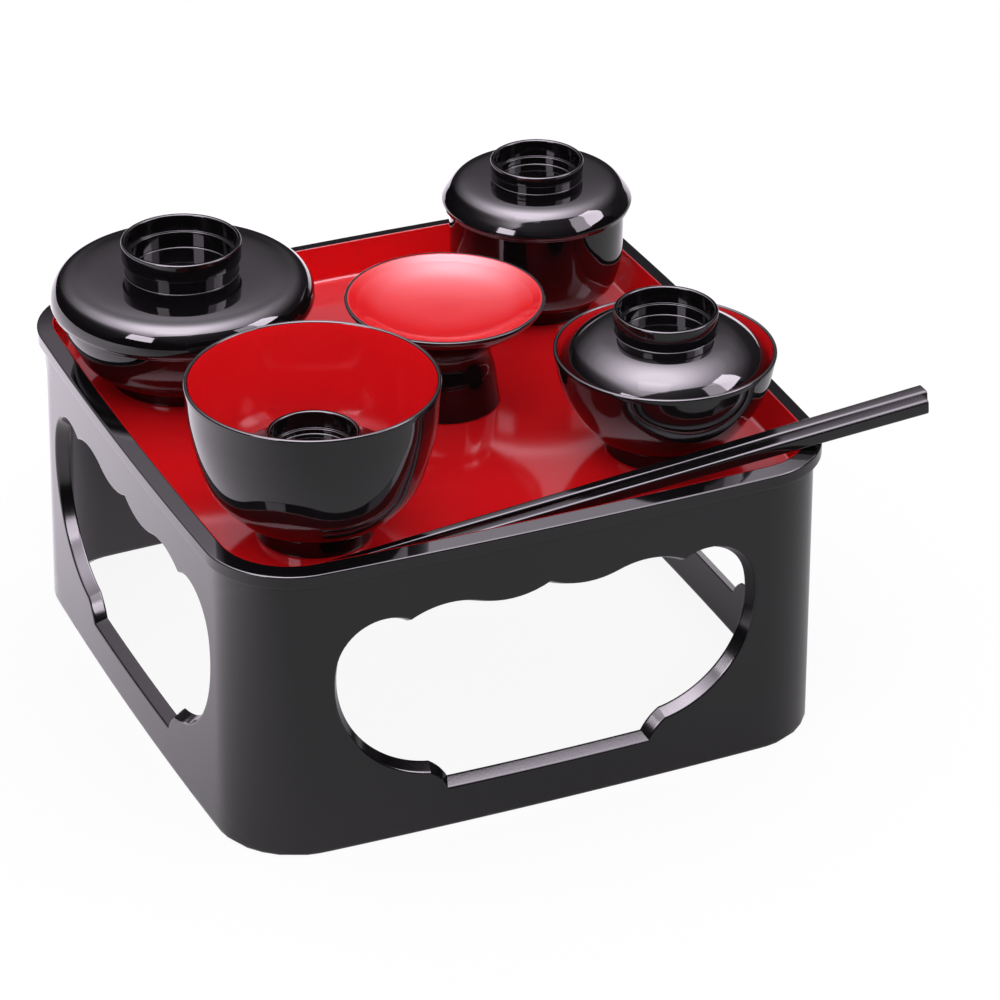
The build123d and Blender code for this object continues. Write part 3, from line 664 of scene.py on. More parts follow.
def sunk_lid_section(node):
    """A domed lid that sits inside its bowl."""
    spot = Spot(node.removesuffix("_lid"))
    base = spot.bottom
    size = SUNK_LIDS[node]
    knob = KNOBS[node]
    edge = (Spot(node).radius, size["seat"])
    ring_foot = (knob["radius"], Spot(node).top - base - knob["height"])
    dome = [ring_foot] + spread(ring_foot, edge, size["shape"]) + [edge]
    under = offset_run(dome, -LID_THICKNESS, -LID_THICKNESS * SUNK_EDGE_SHARE)
    middle = ring_foot[1] + knob["height"] - knob["hollow"] - LID_THICKNESS
    under[0] = (knob["radius"] * SUNK_FLAT_SHARE, middle)
    section = Section()
    section.corner(0, middle + base, red=True)
    section.run(lifted(smooth_run(under), base), red=True, last=SUNK_EDGE_ROUNDING)
    dome_up = lifted(reversed(smooth_run(dome)), base)
    section.run(dome_up[:-1], first=SUNK_EDGE_ROUNDING)
    knob_section(section, node, ring_foot, base)
    return section, spot


def capping_lid_section(node):
    """A domed lid that rests on its bowl's rim, its skirt outside."""
    bowl = Spot(node.removesuffix("_lid"))
    base = bowl.bottom
    size = CAPPING_LIDS[node]
    knob = KNOBS[node]
    seat = bowl.height + SEAT_GAP
    skirt_inner = bowl.radius + size["skirt_gap"]
    widest = (skirt_inner + size["skirt_wall"], bowl.height)
    ring_foot = (knob["radius"], Spot(node).top - base - knob["height"])
    dome = [ring_foot] + spread(ring_foot, widest, size["shape"]) + [widest]
    edge = Spot(node).bottom - base
    middle = ring_foot[1] + knob["height"] - knob["hollow"] - LID_THICKNESS
    ledge = bowl.radius - 1.5 * RIM_THICKNESS
    lowest = ring_foot[1] + SEAT_GAP - 1.5 * LID_THICKNESS
    under_turn = (ledge - CAP_LEDGE_WIDTH, min(middle, lowest))
    bend = [blend((ledge, seat), under_turn, t) for t in (0.25, 0.5, 0.75)]
    bend = [
        (r + b * CAP_BEND_SLANT, h + b * CAP_BEND_SLANT)
        for (r, h), b in zip(bend, CAP_BEND)
    ]
    section = Section()
    section.corner(0, middle + base, red=True)
    section.corner(under_turn[0], under_turn[1] + base, 0.8, red=True)
    section.run(lifted(reversed(bend), base), red=True)
    section.corner(ledge, seat + base, 0.1, red=True)
    section.corner(skirt_inner, seat + base, 0.1, red=True)
    section.corner(skirt_inner, edge + base, 0.5)
    section.corner(widest[0] - 0.5, edge + base, 0.7)
    skirt = [
        (widest[0] - 0.28, edge + 0.9),
        (widest[0] - 0.07, (edge + widest[1]) / 2 + 0.4),
    ]
    section.run(lifted(smooth_run(skirt + dome[::-1])[:-1], base))
    knob_section(section, node, ring_foot, base)
    return section, bowl


DISH_FOOT_RADIUS = 15.9
DISH_WAIST = (13.2, 18.0)
DISH_SHAPE = [(0.441, 0.433), (0.864, 0.808)]
DISH_RIM_WIDTH = 1.4
DISH_HOLLOW_RADIUS = 25.1
DISH_LIP_DROP = 1.3
DISH_HOLLOW_DEPTH = 5.6
DISH_HOLLOW_SHAPE = [(0.8, 2.1), (0.55, 0.75), (0.28, 0.12)]  # share of its radius, rise


def dish_section():
    """The footed dish from the recess under its foot, up its stem and over its rim."""
    spot = Spot("footed_dish")
    base = spot.bottom
    rim = (spot.radius, spot.height - DISH_RIM_WIDTH / 2)
    recess = DISH_FOOT_RADIUS - FOOT_RING
    stem = [
        (DISH_FOOT_RADIUS - 0.2, 1.2),
        ((DISH_FOOT_RADIUS + DISH_WAIST[0]) / 2, DISH_WAIST[1] * 0.55),
        DISH_WAIST,
    ]
    outer = smooth_run(stem + spread(DISH_WAIST, rim, DISH_SHAPE) + [rim])
    lip = (DISH_HOLLOW_RADIUS, spot.height - DISH_LIP_DROP)
    bottom = spot.height - DISH_HOLLOW_DEPTH
    curve = [(DISH_HOLLOW_RADIUS * r, bottom + h) for r, h in DISH_HOLLOW_SHAPE]
    hollow = smooth_run([lip] + curve + [(0, bottom)])
    section = Section()
    section.corner(0, FOOT_RECESS + base)
    section.corner(recess, FOOT_RECESS + base, RECESS_ROUNDING)
    section.corner(recess, base, FOOT_ROUNDING)
    section.corner(DISH_FOOT_RADIUS, base, FOOT_ROUNDING)
    section.run(lifted(outer[:-1], base), first=FOOT_ROUNDING)
    section.corner(spot.radius, spot.top, DISH_RIM_WIDTH * 0.45)
    section.corner(spot.radius - DISH_RIM_WIDTH, spot.top, DISH_RIM_WIDTH * 0.4, red=True)
    section.run(lifted(hollow, base), red=True, first=0.4)
    return section, spot


# ------------------------------------------------------------------ tray

TRAY_DEPTH = 10.1
LIP_DEPTH = 5.4
RIM_EDGE_DROP = 0.8
RIM_EDGE_RADIUS = 0.6
RIM_WIDTH = 4.8
RIM_CREST_RADIUS = 0.5
LIP_UNDERCUT = 1.5
LIP_UNDERCUT_HEIGHT = 1.0
PAN_WALL = 2.1
PAN_LEAN = 2.9
PAN_FILLET = 1.5
PAN_CLEARANCE = 0.2
PAN_FLOOR_RIM = 6             # the floor runs this far in from the wall's foot before it is closed


def pan_inset_at_lip():
    """How far in the pan's outside stands at the height of the lip's underside."""
    spot = Spot("tray")
    return RIM_WIDTH + PAN_LEAN - PAN_WALL - PAN_LEAN * (spot.height - LIP_DEPTH) / spot.height


def tray():
    """The pan with its lip, black outside and red inside from the rim's crest on."""
    spot = Spot("tray")
    crest = spot.top
    floor = crest - TRAY_DEPTH
    lip = crest - LIP_DEPTH
    wall_foot = RIM_WIDTH + PAN_LEAN
    section = Section()
    section.corner(-wall_foot - PAN_FLOOR_RIM, spot.bottom)
    section.corner(-wall_foot + PAN_WALL, spot.bottom, PAN_FILLET)
    section.corner(-pan_inset_at_lip(), lip, 0.2)
    section.corner(-LIP_UNDERCUT, lip, 0.15)
    section.corner(0, lip + LIP_UNDERCUT_HEIGHT, 0.4)
    section.corner(0, crest - RIM_EDGE_DROP, RIM_EDGE_RADIUS)
    section.corner(-RIM_WIDTH + 0.4, crest - 0.02, 0.3)
    section.corner(-RIM_WIDTH - 0.1, crest, RIM_CREST_RADIUS, red=True)
    section.corner(-wall_foot, floor, PAN_FILLET, red=True)
    section.corner(-wall_foot - PAN_FLOOR_RIM, floor, red=True)
    obj = carried("tray_shell", section, rim_path(), (0, 0, 0), BLACK, RED)
    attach(obj, "table")
    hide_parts("tray")
    return obj


# ------------------------------------------------------------------ stand

STAND_SETBACK = 1.5
STAND_DRAFT = 0.7
STAND_WALL = 3.8
FOOT_EDGE = 0.8
OPENING_EDGE = 0.5        # rounding of the opening's edges

# The opening is drawn on the flat plane that touches the middle of the wall's foot.
OPENING_TAPER = 2.1       # narrower by this much all round at the wall's inner face
OPENING_HALF_WIDTH = 64.2
OPENING_WIDEST_HEIGHT = 52.0
OPENING_SIDE_RADIUS = 34.2
OPENING_SIDE_FOOT = 35.8
SILL_HEIGHT = 12.15
SILL_HALF_WIDTH = 30.8
SHOULDER_BULGE = 0.55
LOBE_RADIUS = 15.6
LOBE_TURN = 11.0
ARCH_RADIUS = 26.5
ARCH_OFFSET = 29.3
ARCH_TOP = 71.9
OGEE_TIP_HEIGHT = 71.7
OGEE_RADIUS = 25.8
OPENING_STEP = 1.6        # spacing of the points along an opening's edge
PANEL_STEPS = 20          # rings of faces between an opening and its wall's border
PANEL_CROWDING = 1.15     # over 1, the rings crowd towards the opening
INWARD_STEP = 2           # the opening is drawn again this far in, to find each point's way in
TAPER_ROUNDS = 4          # each point's way in depends on where it lands, so it is found in rounds
STRAIGHT_MARGIN = 1       # a wall isn't stretched up to this far past its opening
FOOT_BEVEL = 0.3          # the middle of the foot's edge, as a share of its width
TOP_EDGE = 0.5            # rounding of the walls' top
REBATE_EDGE = 0.3


def meeting(centre_a, radius_a, centre_b, radius_b, side):
    """One of the two points where two circles cross; side is +1 or -1."""
    dx = centre_b[0] - centre_a[0]
    dy = centre_b[1] - centre_a[1]
    gap = math.hypot(dx, dy)
    along = (radius_a**2 - radius_b**2 + gap**2) / (2 * gap)
    across = side * math.sqrt(radius_a**2 - along**2)
    return (
        centre_a[0] + (along * dx - across * dy) / gap,
        centre_a[1] + (along * dy + across * dx) / gap,
    )


def circle_through(a, b, c):
    """Centre and radius of the circle through three points."""
    twice_area = 2 * (a[0] * (b[1] - c[1]) + b[0] * (c[1] - a[1]) + c[0] * (a[1] - b[1]))
    squares = [p[0] ** 2 + p[1] ** 2 for p in (a, b, c)]
    x = squares[0] * (b[1] - c[1]) + squares[1] * (c[1] - a[1]) + squares[2] * (a[1] - b[1])
    y = squares[0] * (c[0] - b[0]) + squares[1] * (a[0] - c[0]) + squares[2] * (b[0] - a[0])
    centre = (x / twice_area, y / twice_area)
    return centre, math.hypot(a[0] - centre[0], a[1] - centre[1])


def arc_points(centre, radius, start, end, steps):
    """Points on the short arc from start up to, but not including, end."""
    a = math.atan2(start[1] - centre[1], start[0] - centre[0])
    b = math.atan2(end[1] - centre[1], end[0] - centre[0])
    turn = (b - a + math.pi) % (2 * math.pi) - math.pi
    angles = [a + turn * i / steps for i in range(steps)]
    return [(centre[0] + radius * math.cos(t), centre[1] + radius * math.sin(t)) for t in angles]


def shoulder_circle(side):
    """Circle of the small curve between the opening's side and its sill."""
    fall = math.sqrt(OPENING_SIDE_RADIUS**2 - (OPENING_SIDE_FOOT - side[0]) ** 2)
    side_foot = (OPENING_SIDE_FOOT, side[1] - fall)
    sill_end = (SILL_HALF_WIDTH, SILL_HEIGHT)
    run = (side_foot[0] - sill_end[0], side_foot[1] - sill_end[1])
    lift = SHOULDER_BULGE / math.hypot(*run)
    middle = blend(side_foot, sill_end, 0.5)
    bulge = (middle[0] - run[1] * lift, middle[1] + run[0] * lift)
    return circle_through(side_foot, bulge, sill_end)


def opening_outline(inward):
    """Points (x, z, is a corner) round the opening moved inward, clockwise from its top."""
    arch = (ARCH_OFFSET, ARCH_TOP - ARCH_RADIUS)
    side = (OPENING_HALF_WIDTH - OPENING_SIDE_RADIUS, OPENING_WIDEST_HEIGHT)
    way = (math.cos(math.radians(LOBE_TURN)), math.sin(math.radians(LOBE_TURN)))
    lobe_reach = OPENING_SIDE_RADIUS - LOBE_RADIUS
    lobe = (side[0] + lobe_reach * way[0], side[1] + lobe_reach * way[1])
    ogee = meeting((0.0, OGEE_TIP_HEIGHT), OGEE_RADIUS, arch, OGEE_RADIUS + ARCH_RADIUS, 1)
    shoulder, shoulder_radius = shoulder_circle(side)
    ogee_radius = OGEE_RADIUS + inward
    arch_radius = ARCH_RADIUS - inward
    lobe_radius = LOBE_RADIUS - inward
    side_radius = OPENING_SIDE_RADIUS - inward
    shoulder_radius += inward
    sill_z = SILL_HEIGHT + inward

    tip = (0.0, ogee[1] - math.sqrt(ogee_radius**2 - ogee[0] ** 2))
    ogee_end = blend(ogee, arch, ogee_radius / (OGEE_RADIUS + ARCH_RADIUS))
    cusp = meeting(arch, arch_radius, lobe, lobe_radius, 1)
    side_top = (side[0] + side_radius * way[0], side[1] + side_radius * way[1])
    side_foot = meeting(side, side_radius, shoulder, shoulder_radius, -1)
    sill_end = (shoulder[0] - math.sqrt(shoulder_radius**2 - (sill_z - shoulder[1]) ** 2), sill_z)
    arcs = [
        (ogee, ogee_radius, tip, ogee_end, 9, True),
        (arch, arch_radius, ogee_end, cusp, 14, False),
        (lobe, lobe_radius, cusp, side_top, 18, True),
        (side, side_radius, side_top, side_foot, 38, False),
        (shoulder, shoulder_radius, side_foot, sill_end, 5, True),
    ]
    half = []
    for centre, radius, start, end, steps, sharp in arcs:
        points = arc_points(centre, radius, start, end, steps)
        half += [(*p, sharp and i == 0) for i, p in enumerate(points)]
    sill_steps = round(SILL_HALF_WIDTH / OPENING_STEP)
    for i in range(sill_steps + 1):
        half.append((*blend(sill_end, (0.0, sill_z), i / sill_steps), i == 0))
    left = [(-x, z, corner) for x, z, corner in reversed(half[1:-1])]
    return half + left


def wall_point(s, z, inset):
    """A place on the front wall: s along it, z up it, and inset in from the tray's outline."""
    reach = -inset
    join = CORNER_CENTRE + CORNER_RADIUS * math.sin(SIDE_ANGLE)
    join_here = CORNER_CENTRE + (CORNER_RADIUS + reach) * math.sin(SIDE_ANGLE)
    a = abs(s)
    if a <= join:
        straight = OPENING_HALF_WIDTH + STRAIGHT_MARGIN
        x = a
        if a > straight:
            x = straight + (a - straight) * (join_here - straight) / (join - straight)
        y = SIDE_CENTRE - math.sqrt((SIDE_RADIUS + reach) ** 2 - x * x)
    else:
        angle = SIDE_ANGLE + (a - join) / CORNER_RADIUS
        x = CORNER_CENTRE + (CORNER_RADIUS + reach) * math.sin(angle)
        y = -CORNER_CENTRE - (CORNER_RADIUS + reach) * math.cos(angle)
    return Vector((math.copysign(x, s), y, z))


def outset(outline, distance):
    """The opening's outline moved out into the wall, mitred at its corners."""
    moved = []
    count = len(outline)
    for i in range(count):
        x, z, _ = outline[i]
        before = Vector(outline[i - 1][:2])
        after = Vector(outline[(i + 1) % count][:2])
        here = Vector((x, z))
        a = (here - before).normalized()
        b = (after - here).normalized()
        left_a = Vector((-a.y, a.x))
        left_b = Vector((-b.y, b.x))
        mitre = (left_a + left_b).normalized()
        stretch = 1 / max(mitre.dot(left_a), 0.5)
        moved.append((x + mitre.x * distance * stretch, z + mitre.y * distance * stretch))
    return moved


def border(outline, reach, low, high):
    """For each point of the opening, its partner on the border of its wall."""
    middle = Vector((0, (low + high) / 2))
    partners = []
    for x, z, _ in outline:
        ray = Vector((x, z)) - middle
        grow = min(
            reach / abs(ray.x) if ray.x else math.inf,
            ((high if ray.y > 0 else low) - middle.y) / ray.y if ray.y else math.inf,
        )
        partners.append(middle + ray * grow)
    for corner in (Vector((sx * reach, z)) for sx in (-1, 1) for z in (low, high)):
        nearest = min(range(len(partners)), key=lambda i: (partners[i] - corner).length)
        partners[nearest] = corner
    return partners


def stand_wall(bm, turn):
    """One of the four walls, from corner middle to corner middle, with its opening."""
    lip = Spot("tray").top - LIP_DEPTH
    shelf = Spot("tray").bottom - PAN_CLEARANCE
    reach = CORNER_CENTRE + CORNER_RADIUS * math.sin(SIDE_ANGLE)
    reach += CORNER_RADIUS * (math.pi / 4 - SIDE_ANGLE)
    rebate = pan_inset_at_lip() - PAN_CLEARANCE

    def outer_inset(z):
        return STAND_SETBACK + STAND_DRAFT * z / lip

    drawn = opening_outline(0)
    moved = opening_outline(INWARD_STEP)
    inward = [
        ((m[0] - d[0]) / INWARD_STEP, (m[1] - d[1]) / INWARD_STEP)
        for d, m in zip(drawn, moved)
    ]
    slope = OPENING_TAPER / STAND_WALL
    corners = [d[2] for d in drawn]

    def tapered(depth):
        """The opening's outline this deep in the wall."""
        points = []
        for (x, z, corner), (dx, dz) in zip(drawn, inward):
            shift = 0.0
            for _ in range(TAPER_ROUNDS):
                here = (x + dx * shift, z + dz * shift)
                landed = wall_point(*here, outer_inset(here[1]) + depth)
                shift = slope * (landed.y + TRAY_HALF - STAND_SETBACK)
            points.append((*here, corner))
        return points

    edge = OPENING_EDGE
    outline = tapered(0)
    inner_outline = tapered(STAND_WALL)
    hold = outset(outline, edge + HOLD)
    inner_hold = outset(inner_outline, edge + HOLD)
    outer_border = border(outline, reach, FOOT_EDGE, lip - TOP_EDGE)
    squeeze = (shelf - TOP_EDGE - FOOT_EDGE) / (lip - TOP_EDGE - FOOT_EDGE)
    inner_border = [Vector((p[0], FOOT_EDGE + (p[1] - FOOT_EDGE) * squeeze)) for p in outer_border]

    def laid(points, depth):
        return [wall_point(p[0], p[1], outer_inset(p[1]) + depth) for p in points]

    def rounded(start, corner, end):
        """Rings over a rounded edge, from one face to the other."""
        for k in range(ARC_STEPS + 1):
            t = k / ARC_STEPS
            rings.append([
                a * (1 - t) ** 2 + c * (2 * t * (1 - t)) + b * t**2
                for a, c, b in zip(start, corner, end)
            ])

    rings = []
    for k in range(PANEL_STEPS, 0, -1):
        t = (k / PANEL_STEPS) ** PANEL_CROWDING
        rings.append(laid([blend(a, b, t) for a, b in zip(hold, outer_border)], 0))
    rings.append(laid(hold, 0))
    rounded(laid(outset(outline, edge), 0), laid(outline, 0), laid(tapered(edge), edge))
    for depth in (edge + HOLD, STAND_WALL / 2, STAND_WALL - edge - HOLD):
        rings.append(laid(tapered(depth), depth))
    rounded(
        laid(tapered(STAND_WALL - edge), STAND_WALL - edge),
        laid(inner_outline, STAND_WALL),
        laid(outset(inner_outline, edge), STAND_WALL),
    )
    rings.append(laid(inner_hold, STAND_WALL))
    for k in range(1, PANEL_STEPS + 1):
        t = (k / PANEL_STEPS) ** PANEL_CROWDING
        rings.append(laid([blend(a, b, t) for a, b in zip(inner_hold, inner_border)], STAND_WALL))

    spin = Matrix.Rotation(math.pi / 2 * turn, 3, "Z")
    rows = [[bm.verts.new(spin @ p * MM) for p in points] for points in rings]
    count = len(drawn)
    for a, b in zip(rows, rows[1:]):
        for i in range(count):
            j = (i + 1) % count
            bm.faces.new((a[i], b[i], b[j], a[j]))

    first_tunnel = PANEL_STEPS + 1
    last_tunnel = len(rings) - PANEL_STEPS - 1
    for i, corner in enumerate(corners):
        if corner:
            for k in range(first_tunnel, last_tunnel):
                bm.edges.get((rows[k][i], rows[k + 1][i])).smooth = False

    foot = [
        (outer_inset(0), FOOT_EDGE),
        (outer_inset(0) + FOOT_EDGE * FOOT_BEVEL, FOOT_EDGE * FOOT_BEVEL),
        (outer_inset(0) + FOOT_EDGE, 0),
        (outer_inset(0) + FOOT_EDGE + HOLD, 0),
        (outer_inset(0) + STAND_WALL - FOOT_EDGE - HOLD, 0),
        (outer_inset(0) + STAND_WALL - FOOT_EDGE, 0),
        (outer_inset(0) + STAND_WALL - FOOT_EDGE * FOOT_BEVEL, FOOT_EDGE * FOOT_BEVEL),
        (outer_inset(0) + STAND_WALL, FOOT_EDGE),
    ]
    top = [
        (outer_inset(lip), lip - TOP_EDGE),
        (outer_inset(lip) + 0.1, lip - 0.1),
        (outer_inset(lip) + TOP_EDGE, lip),
        (rebate - REBATE_EDGE, lip),
        (rebate, lip - REBATE_EDGE),
        (rebate, shelf),
        (outer_inset(shelf) + STAND_WALL - REBATE_EDGE, shelf),
        (outer_inset(shelf) + STAND_WALL, shelf - TOP_EDGE),
    ]
    close_border(bm, spin, rows[0], outer_border, rows[-1], inner_border, foot, FOOT_EDGE)
    close_border(bm, spin, rows[0], outer_border, rows[-1], inner_border, top, lip - TOP_EDGE)


def close_border(bm, spin, outer_row, outer_border, inner_row, inner_border, path, level):
    """Joins a wall's outer and inner faces along its foot or top, over an (inset, z) path."""
    on_border = [i for i, p in enumerate(outer_border) if abs(p[1] - level) < 1e-6]
    on_border.sort(key=lambda i: outer_border[i][0])
    columns = []
    for i in on_border:
        s_outer = outer_border[i][0]
        s_inner = inner_border[i][0]
        between = []
        for k, (inset, z) in enumerate(path[1:-1], 1):
            s = s_outer + (s_inner - s_outer) * k / (len(path) - 1)
            between.append(bm.verts.new(spin @ wall_point(s, z, inset) * MM))
        columns.append([outer_row[i]] + between + [inner_row[i]])
    for a, b in zip(columns, columns[1:]):
        for k in range(len(a) - 1):
            bm.faces.new((a[k], a[k + 1], b[k + 1], b[k]))


def leg_stand():
    """The four walls of the stand as one piece."""
    data = bpy.data.meshes.new("stand_walls")
    bm = bmesh.new()
    for turn in range(4):
        stand_wall(bm, turn)
    bmesh.ops.remove_doubles(bm, verts=bm.verts, dist=STAND_MERGE)
    bmesh.ops.recalc_face_normals(bm, faces=bm.faces)
    for face in bm.faces:
        face.smooth = True
    bm.to_mesh(data)
    bm.free()
    data.materials.append(STAND_BLACK)
    obj = shown("stand_walls", data)
    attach(obj, "table")
    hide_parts("leg_stand")
    return obj


# ------------------------------------------------------------------ chopsticks

STICK_LENGTH = 181.8
STICK_BUTT = (4.9, 4.6)       # width and height
STICK_TIP_SHARE = 2.3 / 4.9   # tip size as a share of the butt's
STICK_OVERHANG = 29.3
STICK_EDGE_SHARE = 0.22
STICK_REST_GAP = 0.15
STICK_END_EDGE = 0.35
FRONT_STICK_SHIFT = -2.4      # the front butt lies this much further out than the rear one
STICK_STEPS = 48
REAR_STICK_Y = -74.9
FRONT_STICK_GAP = 0.3
STICK_CORNER_STEPS = 6
STICK_END_STEPS = 4
STICK_LEAST_ROUNDING = 0.1
STICK_END_FLAT = 0.15         # the butt's end is drawn in this much more before it is closed


def stick_ring(x, shrink=0.0):
    """Points round the stick at a distance x behind its butt, drawn in by shrink on all sides."""
    share = 1 - (1 - STICK_TIP_SHARE) * x / STICK_LENGTH
    half_width = STICK_BUTT[0] / 2 * share - shrink
    half_height = STICK_BUTT[1] / 2 * share - shrink
    middle = STICK_BUTT[1] / 2 * share
    rounding = max(STICK_EDGE_SHARE * STICK_BUTT[0] * share - shrink, STICK_LEAST_ROUNDING)
    points = []
    for corner in range(4):
        side = 1 if corner in (0, 3) else -1
        rise = 1 if corner in (0, 1) else -1
        centre = (side * (half_width - rounding), rise * (half_height - rounding))
        for k in range(STICK_CORNER_STEPS + 1):
            a = math.pi / 2 * (corner + k / STICK_CORNER_STEPS)
            across = centre[0] + rounding * math.cos(a)
            points.append((-x, across, middle + centre[1] + rounding * math.sin(a)))
    return points


def chopstick(node, butt_x, y):
    """One tapered stick laid on the tray's floor and its rim, its butt's middle at (butt_x, y)."""
    rim = Spot("tray")
    y_low = abs(y) + STICK_BUTT[0] / 4
    beyond = max(y_low - CORNER_CENTRE, 0.0)
    rest = CORNER_CENTRE + math.sqrt((CORNER_RADIUS - RIM_WIDTH) ** 2 - beyond**2)
    pitch = math.asin(TRAY_DEPTH / (STICK_LENGTH - (butt_x - rest)))
    butt_z = rim.top + STICK_REST_GAP + (butt_x - rest) * math.tan(pitch)
    place = Matrix.Translation((butt_x, y, butt_z)) @ Matrix.Rotation(-pitch, 4, "Y")
    rings = []
    for k in range(STICK_END_STEPS, -1, -1):
        a = math.pi / 2 * k / STICK_END_STEPS
        behind = STICK_END_EDGE * (1 - math.sin(a))
        rings.append(stick_ring(behind, STICK_END_EDGE * (1 - math.cos(a))))
    rings = [stick_ring(0, STICK_END_EDGE + STICK_END_FLAT), *rings]
    rings += [stick_ring(STICK_END_EDGE + HOLD)]
    rings += [stick_ring(STICK_LENGTH * k / STICK_STEPS) for k in range(1, STICK_STEPS)]
    rings += [stick_ring(STICK_LENGTH - STICK_END_EDGE), stick_ring(STICK_LENGTH, STICK_END_EDGE)]
    bm = bmesh.new()
    rows = [[bm.verts.new(place @ Vector(p) * MM) for p in ring] for ring in rings]
    for a, b in zip(rows, rows[1:]):
        for i in range(len(a)):
            j = (i + 1) % len(a)
            bm.faces.new((a[i], a[j], b[j], b[i]))
    bm.faces.new(rows[0])
    bm.faces.new(list(reversed(rows[-1])))
    bmesh.ops.recalc_face_normals(bm, faces=bm.faces)
    for face in bm.faces:
        face.smooth = True
    data = bpy.data.meshes.new(node + "_stick")
    bm.to_mesh(data)
    bm.free()
    data.materials.append(STICK_BLACK)
    obj = shown(node + "_stick", data)
    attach(obj, node)
    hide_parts(node)
    return obj


# ------------------------------------------------------------------ floor, light and camera

FLOOR_HALF = 1.6
FLOOR_COLOUR = (0.92, 0.92, 0.92, 1)
FLOOR_SHADE = 0.09                # how much the camera sees of the floor's own shading
FLOOR_MATT = 0.45                 # how much of it the lacquer sees, beside the glow
FLOOR_GLOW_LEAN = 0.6             # the glow grows to the back and left,
FLOOR_GLOW_RUN = (-0.15, 0.35)    # between these distances in metres,
FLOOR_MIRRORED = (0.3, 3.1)       # from the first strength to the second

PLAIN_LEVEL = 1.10                # the world as a light; at 1, an open colour shows as written
ROOM_TINT = (1.0, 0.90, 1.03)     # what the lacquer mirrors is faintly lavender
LAMP_LEVEL = 17.5                 # the brightest the lacquer sees the ceiling, where 1 is white
CEILING_LEVELS = [(0.0, 0.05), (0.2, 0.1), (0.34, 0.4), (0.5, 1.1), (0.64, 2.5), (0.766, 5.0),
                  (0.866, 8.5), (0.94, 13.0), (0.985, 17.0), (1.0, 17.5)]
CEILING_LEAN = (-0.12, -0.05)     # the ceiling is brighter to the left and to the front
CEILING_FRONT_EDGE = 0.65         # how far the ceiling comes forward, per unit of height
CEILING_FRONT_BLUR = 0.03
CEILING_FRONT_LEVEL = 0.07        # what is left of it beyond that edge
CEILING_LEFT_FADE = [(0.0, 1.0), (0.42, 1.0), (0.595, 0.3), (0.85, 0.1)]
LEAST_HEIGHT = 0.05               # below it, the ceiling's edges don't run out any further
STRIP_DISTANCE = 0.9              # metres from the object's middle to each upright lamp

CAMERA_SENSOR = 36
CAMERA_LENS = 169.2
CAMERA_REACH = (0.05, 20)
CAMERA_PLACE = (-0.4608, -1.0882, 0.7200)
CAMERA_TURN = (60.4346, -0.2985, -23.8822)


def calculator(nodes, link):
    """A short way to write sums in a node tree: numbers are set, sockets are linked."""
    def sum_of(operation, *terms):
        node = nodes.new("ShaderNodeMath")
        node.operation = operation
        for socket, term in zip(node.inputs, terms):
            if isinstance(term, (int, float)):
                socket.default_value = term
            else:
                link(term, socket)
        return node.outputs[0]
    return sum_of


def ranged_over(nodes, link, value, low, high, to_low, to_high):
    """A value carried smoothly from one range to another."""
    node = nodes.new("ShaderNodeMapRange")
    node.interpolation_type = "SMOOTHSTEP"
    link(value, node.inputs["Value"])
    numbers = {"From Min": low, "From Max": high, "To Min": to_low, "To Max": to_high}
    for name, number in numbers.items():
        node.inputs[name].default_value = number
    return node.outputs["Result"]


def level_ramp(nodes, link, value, stops, tint=(1, 1, 1)):
    """A ramp through (place, level) stops, grey unless tinted."""
    ramp = nodes.new("ShaderNodeValToRGB")
    elements = ramp.color_ramp.elements
    elements.remove(elements[1])
    elements[0].position = stops[0][0]
    for place, _ in stops[1:]:
        elements.new(place)
    for element, (_, level) in zip(elements, stops):
        element.color = (*(level * part for part in tint), 1)
    link(value, ramp.inputs["Fac"])
    return ramp.outputs["Color"]


def by_ray(nodes, link, to_camera, to_gloss, as_light):
    """Mixes three shaders by the kind of ray that meets them."""
    rays = nodes.new("ShaderNodeLightPath")
    mirrored = nodes.new("ShaderNodeMath")
    mirrored.operation = "MAXIMUM"
    link(rays.outputs["Is Glossy Ray"], mirrored.inputs[0])
    link(rays.outputs["Is Transmission Ray"], mirrored.inputs[1])
    unseen = nodes.new("ShaderNodeMixShader")
    link(mirrored.outputs[0], unseen.inputs["Fac"])
    link(as_light, unseen.inputs[1])
    link(to_gloss, unseen.inputs[2])
    mix = nodes.new("ShaderNodeMixShader")
    link(rays.outputs["Is Camera Ray"], mix.inputs["Fac"])
    link(unseen.outputs[0], mix.inputs[1])
    link(to_camera, mix.inputs[2])
    return mix.outputs[0]


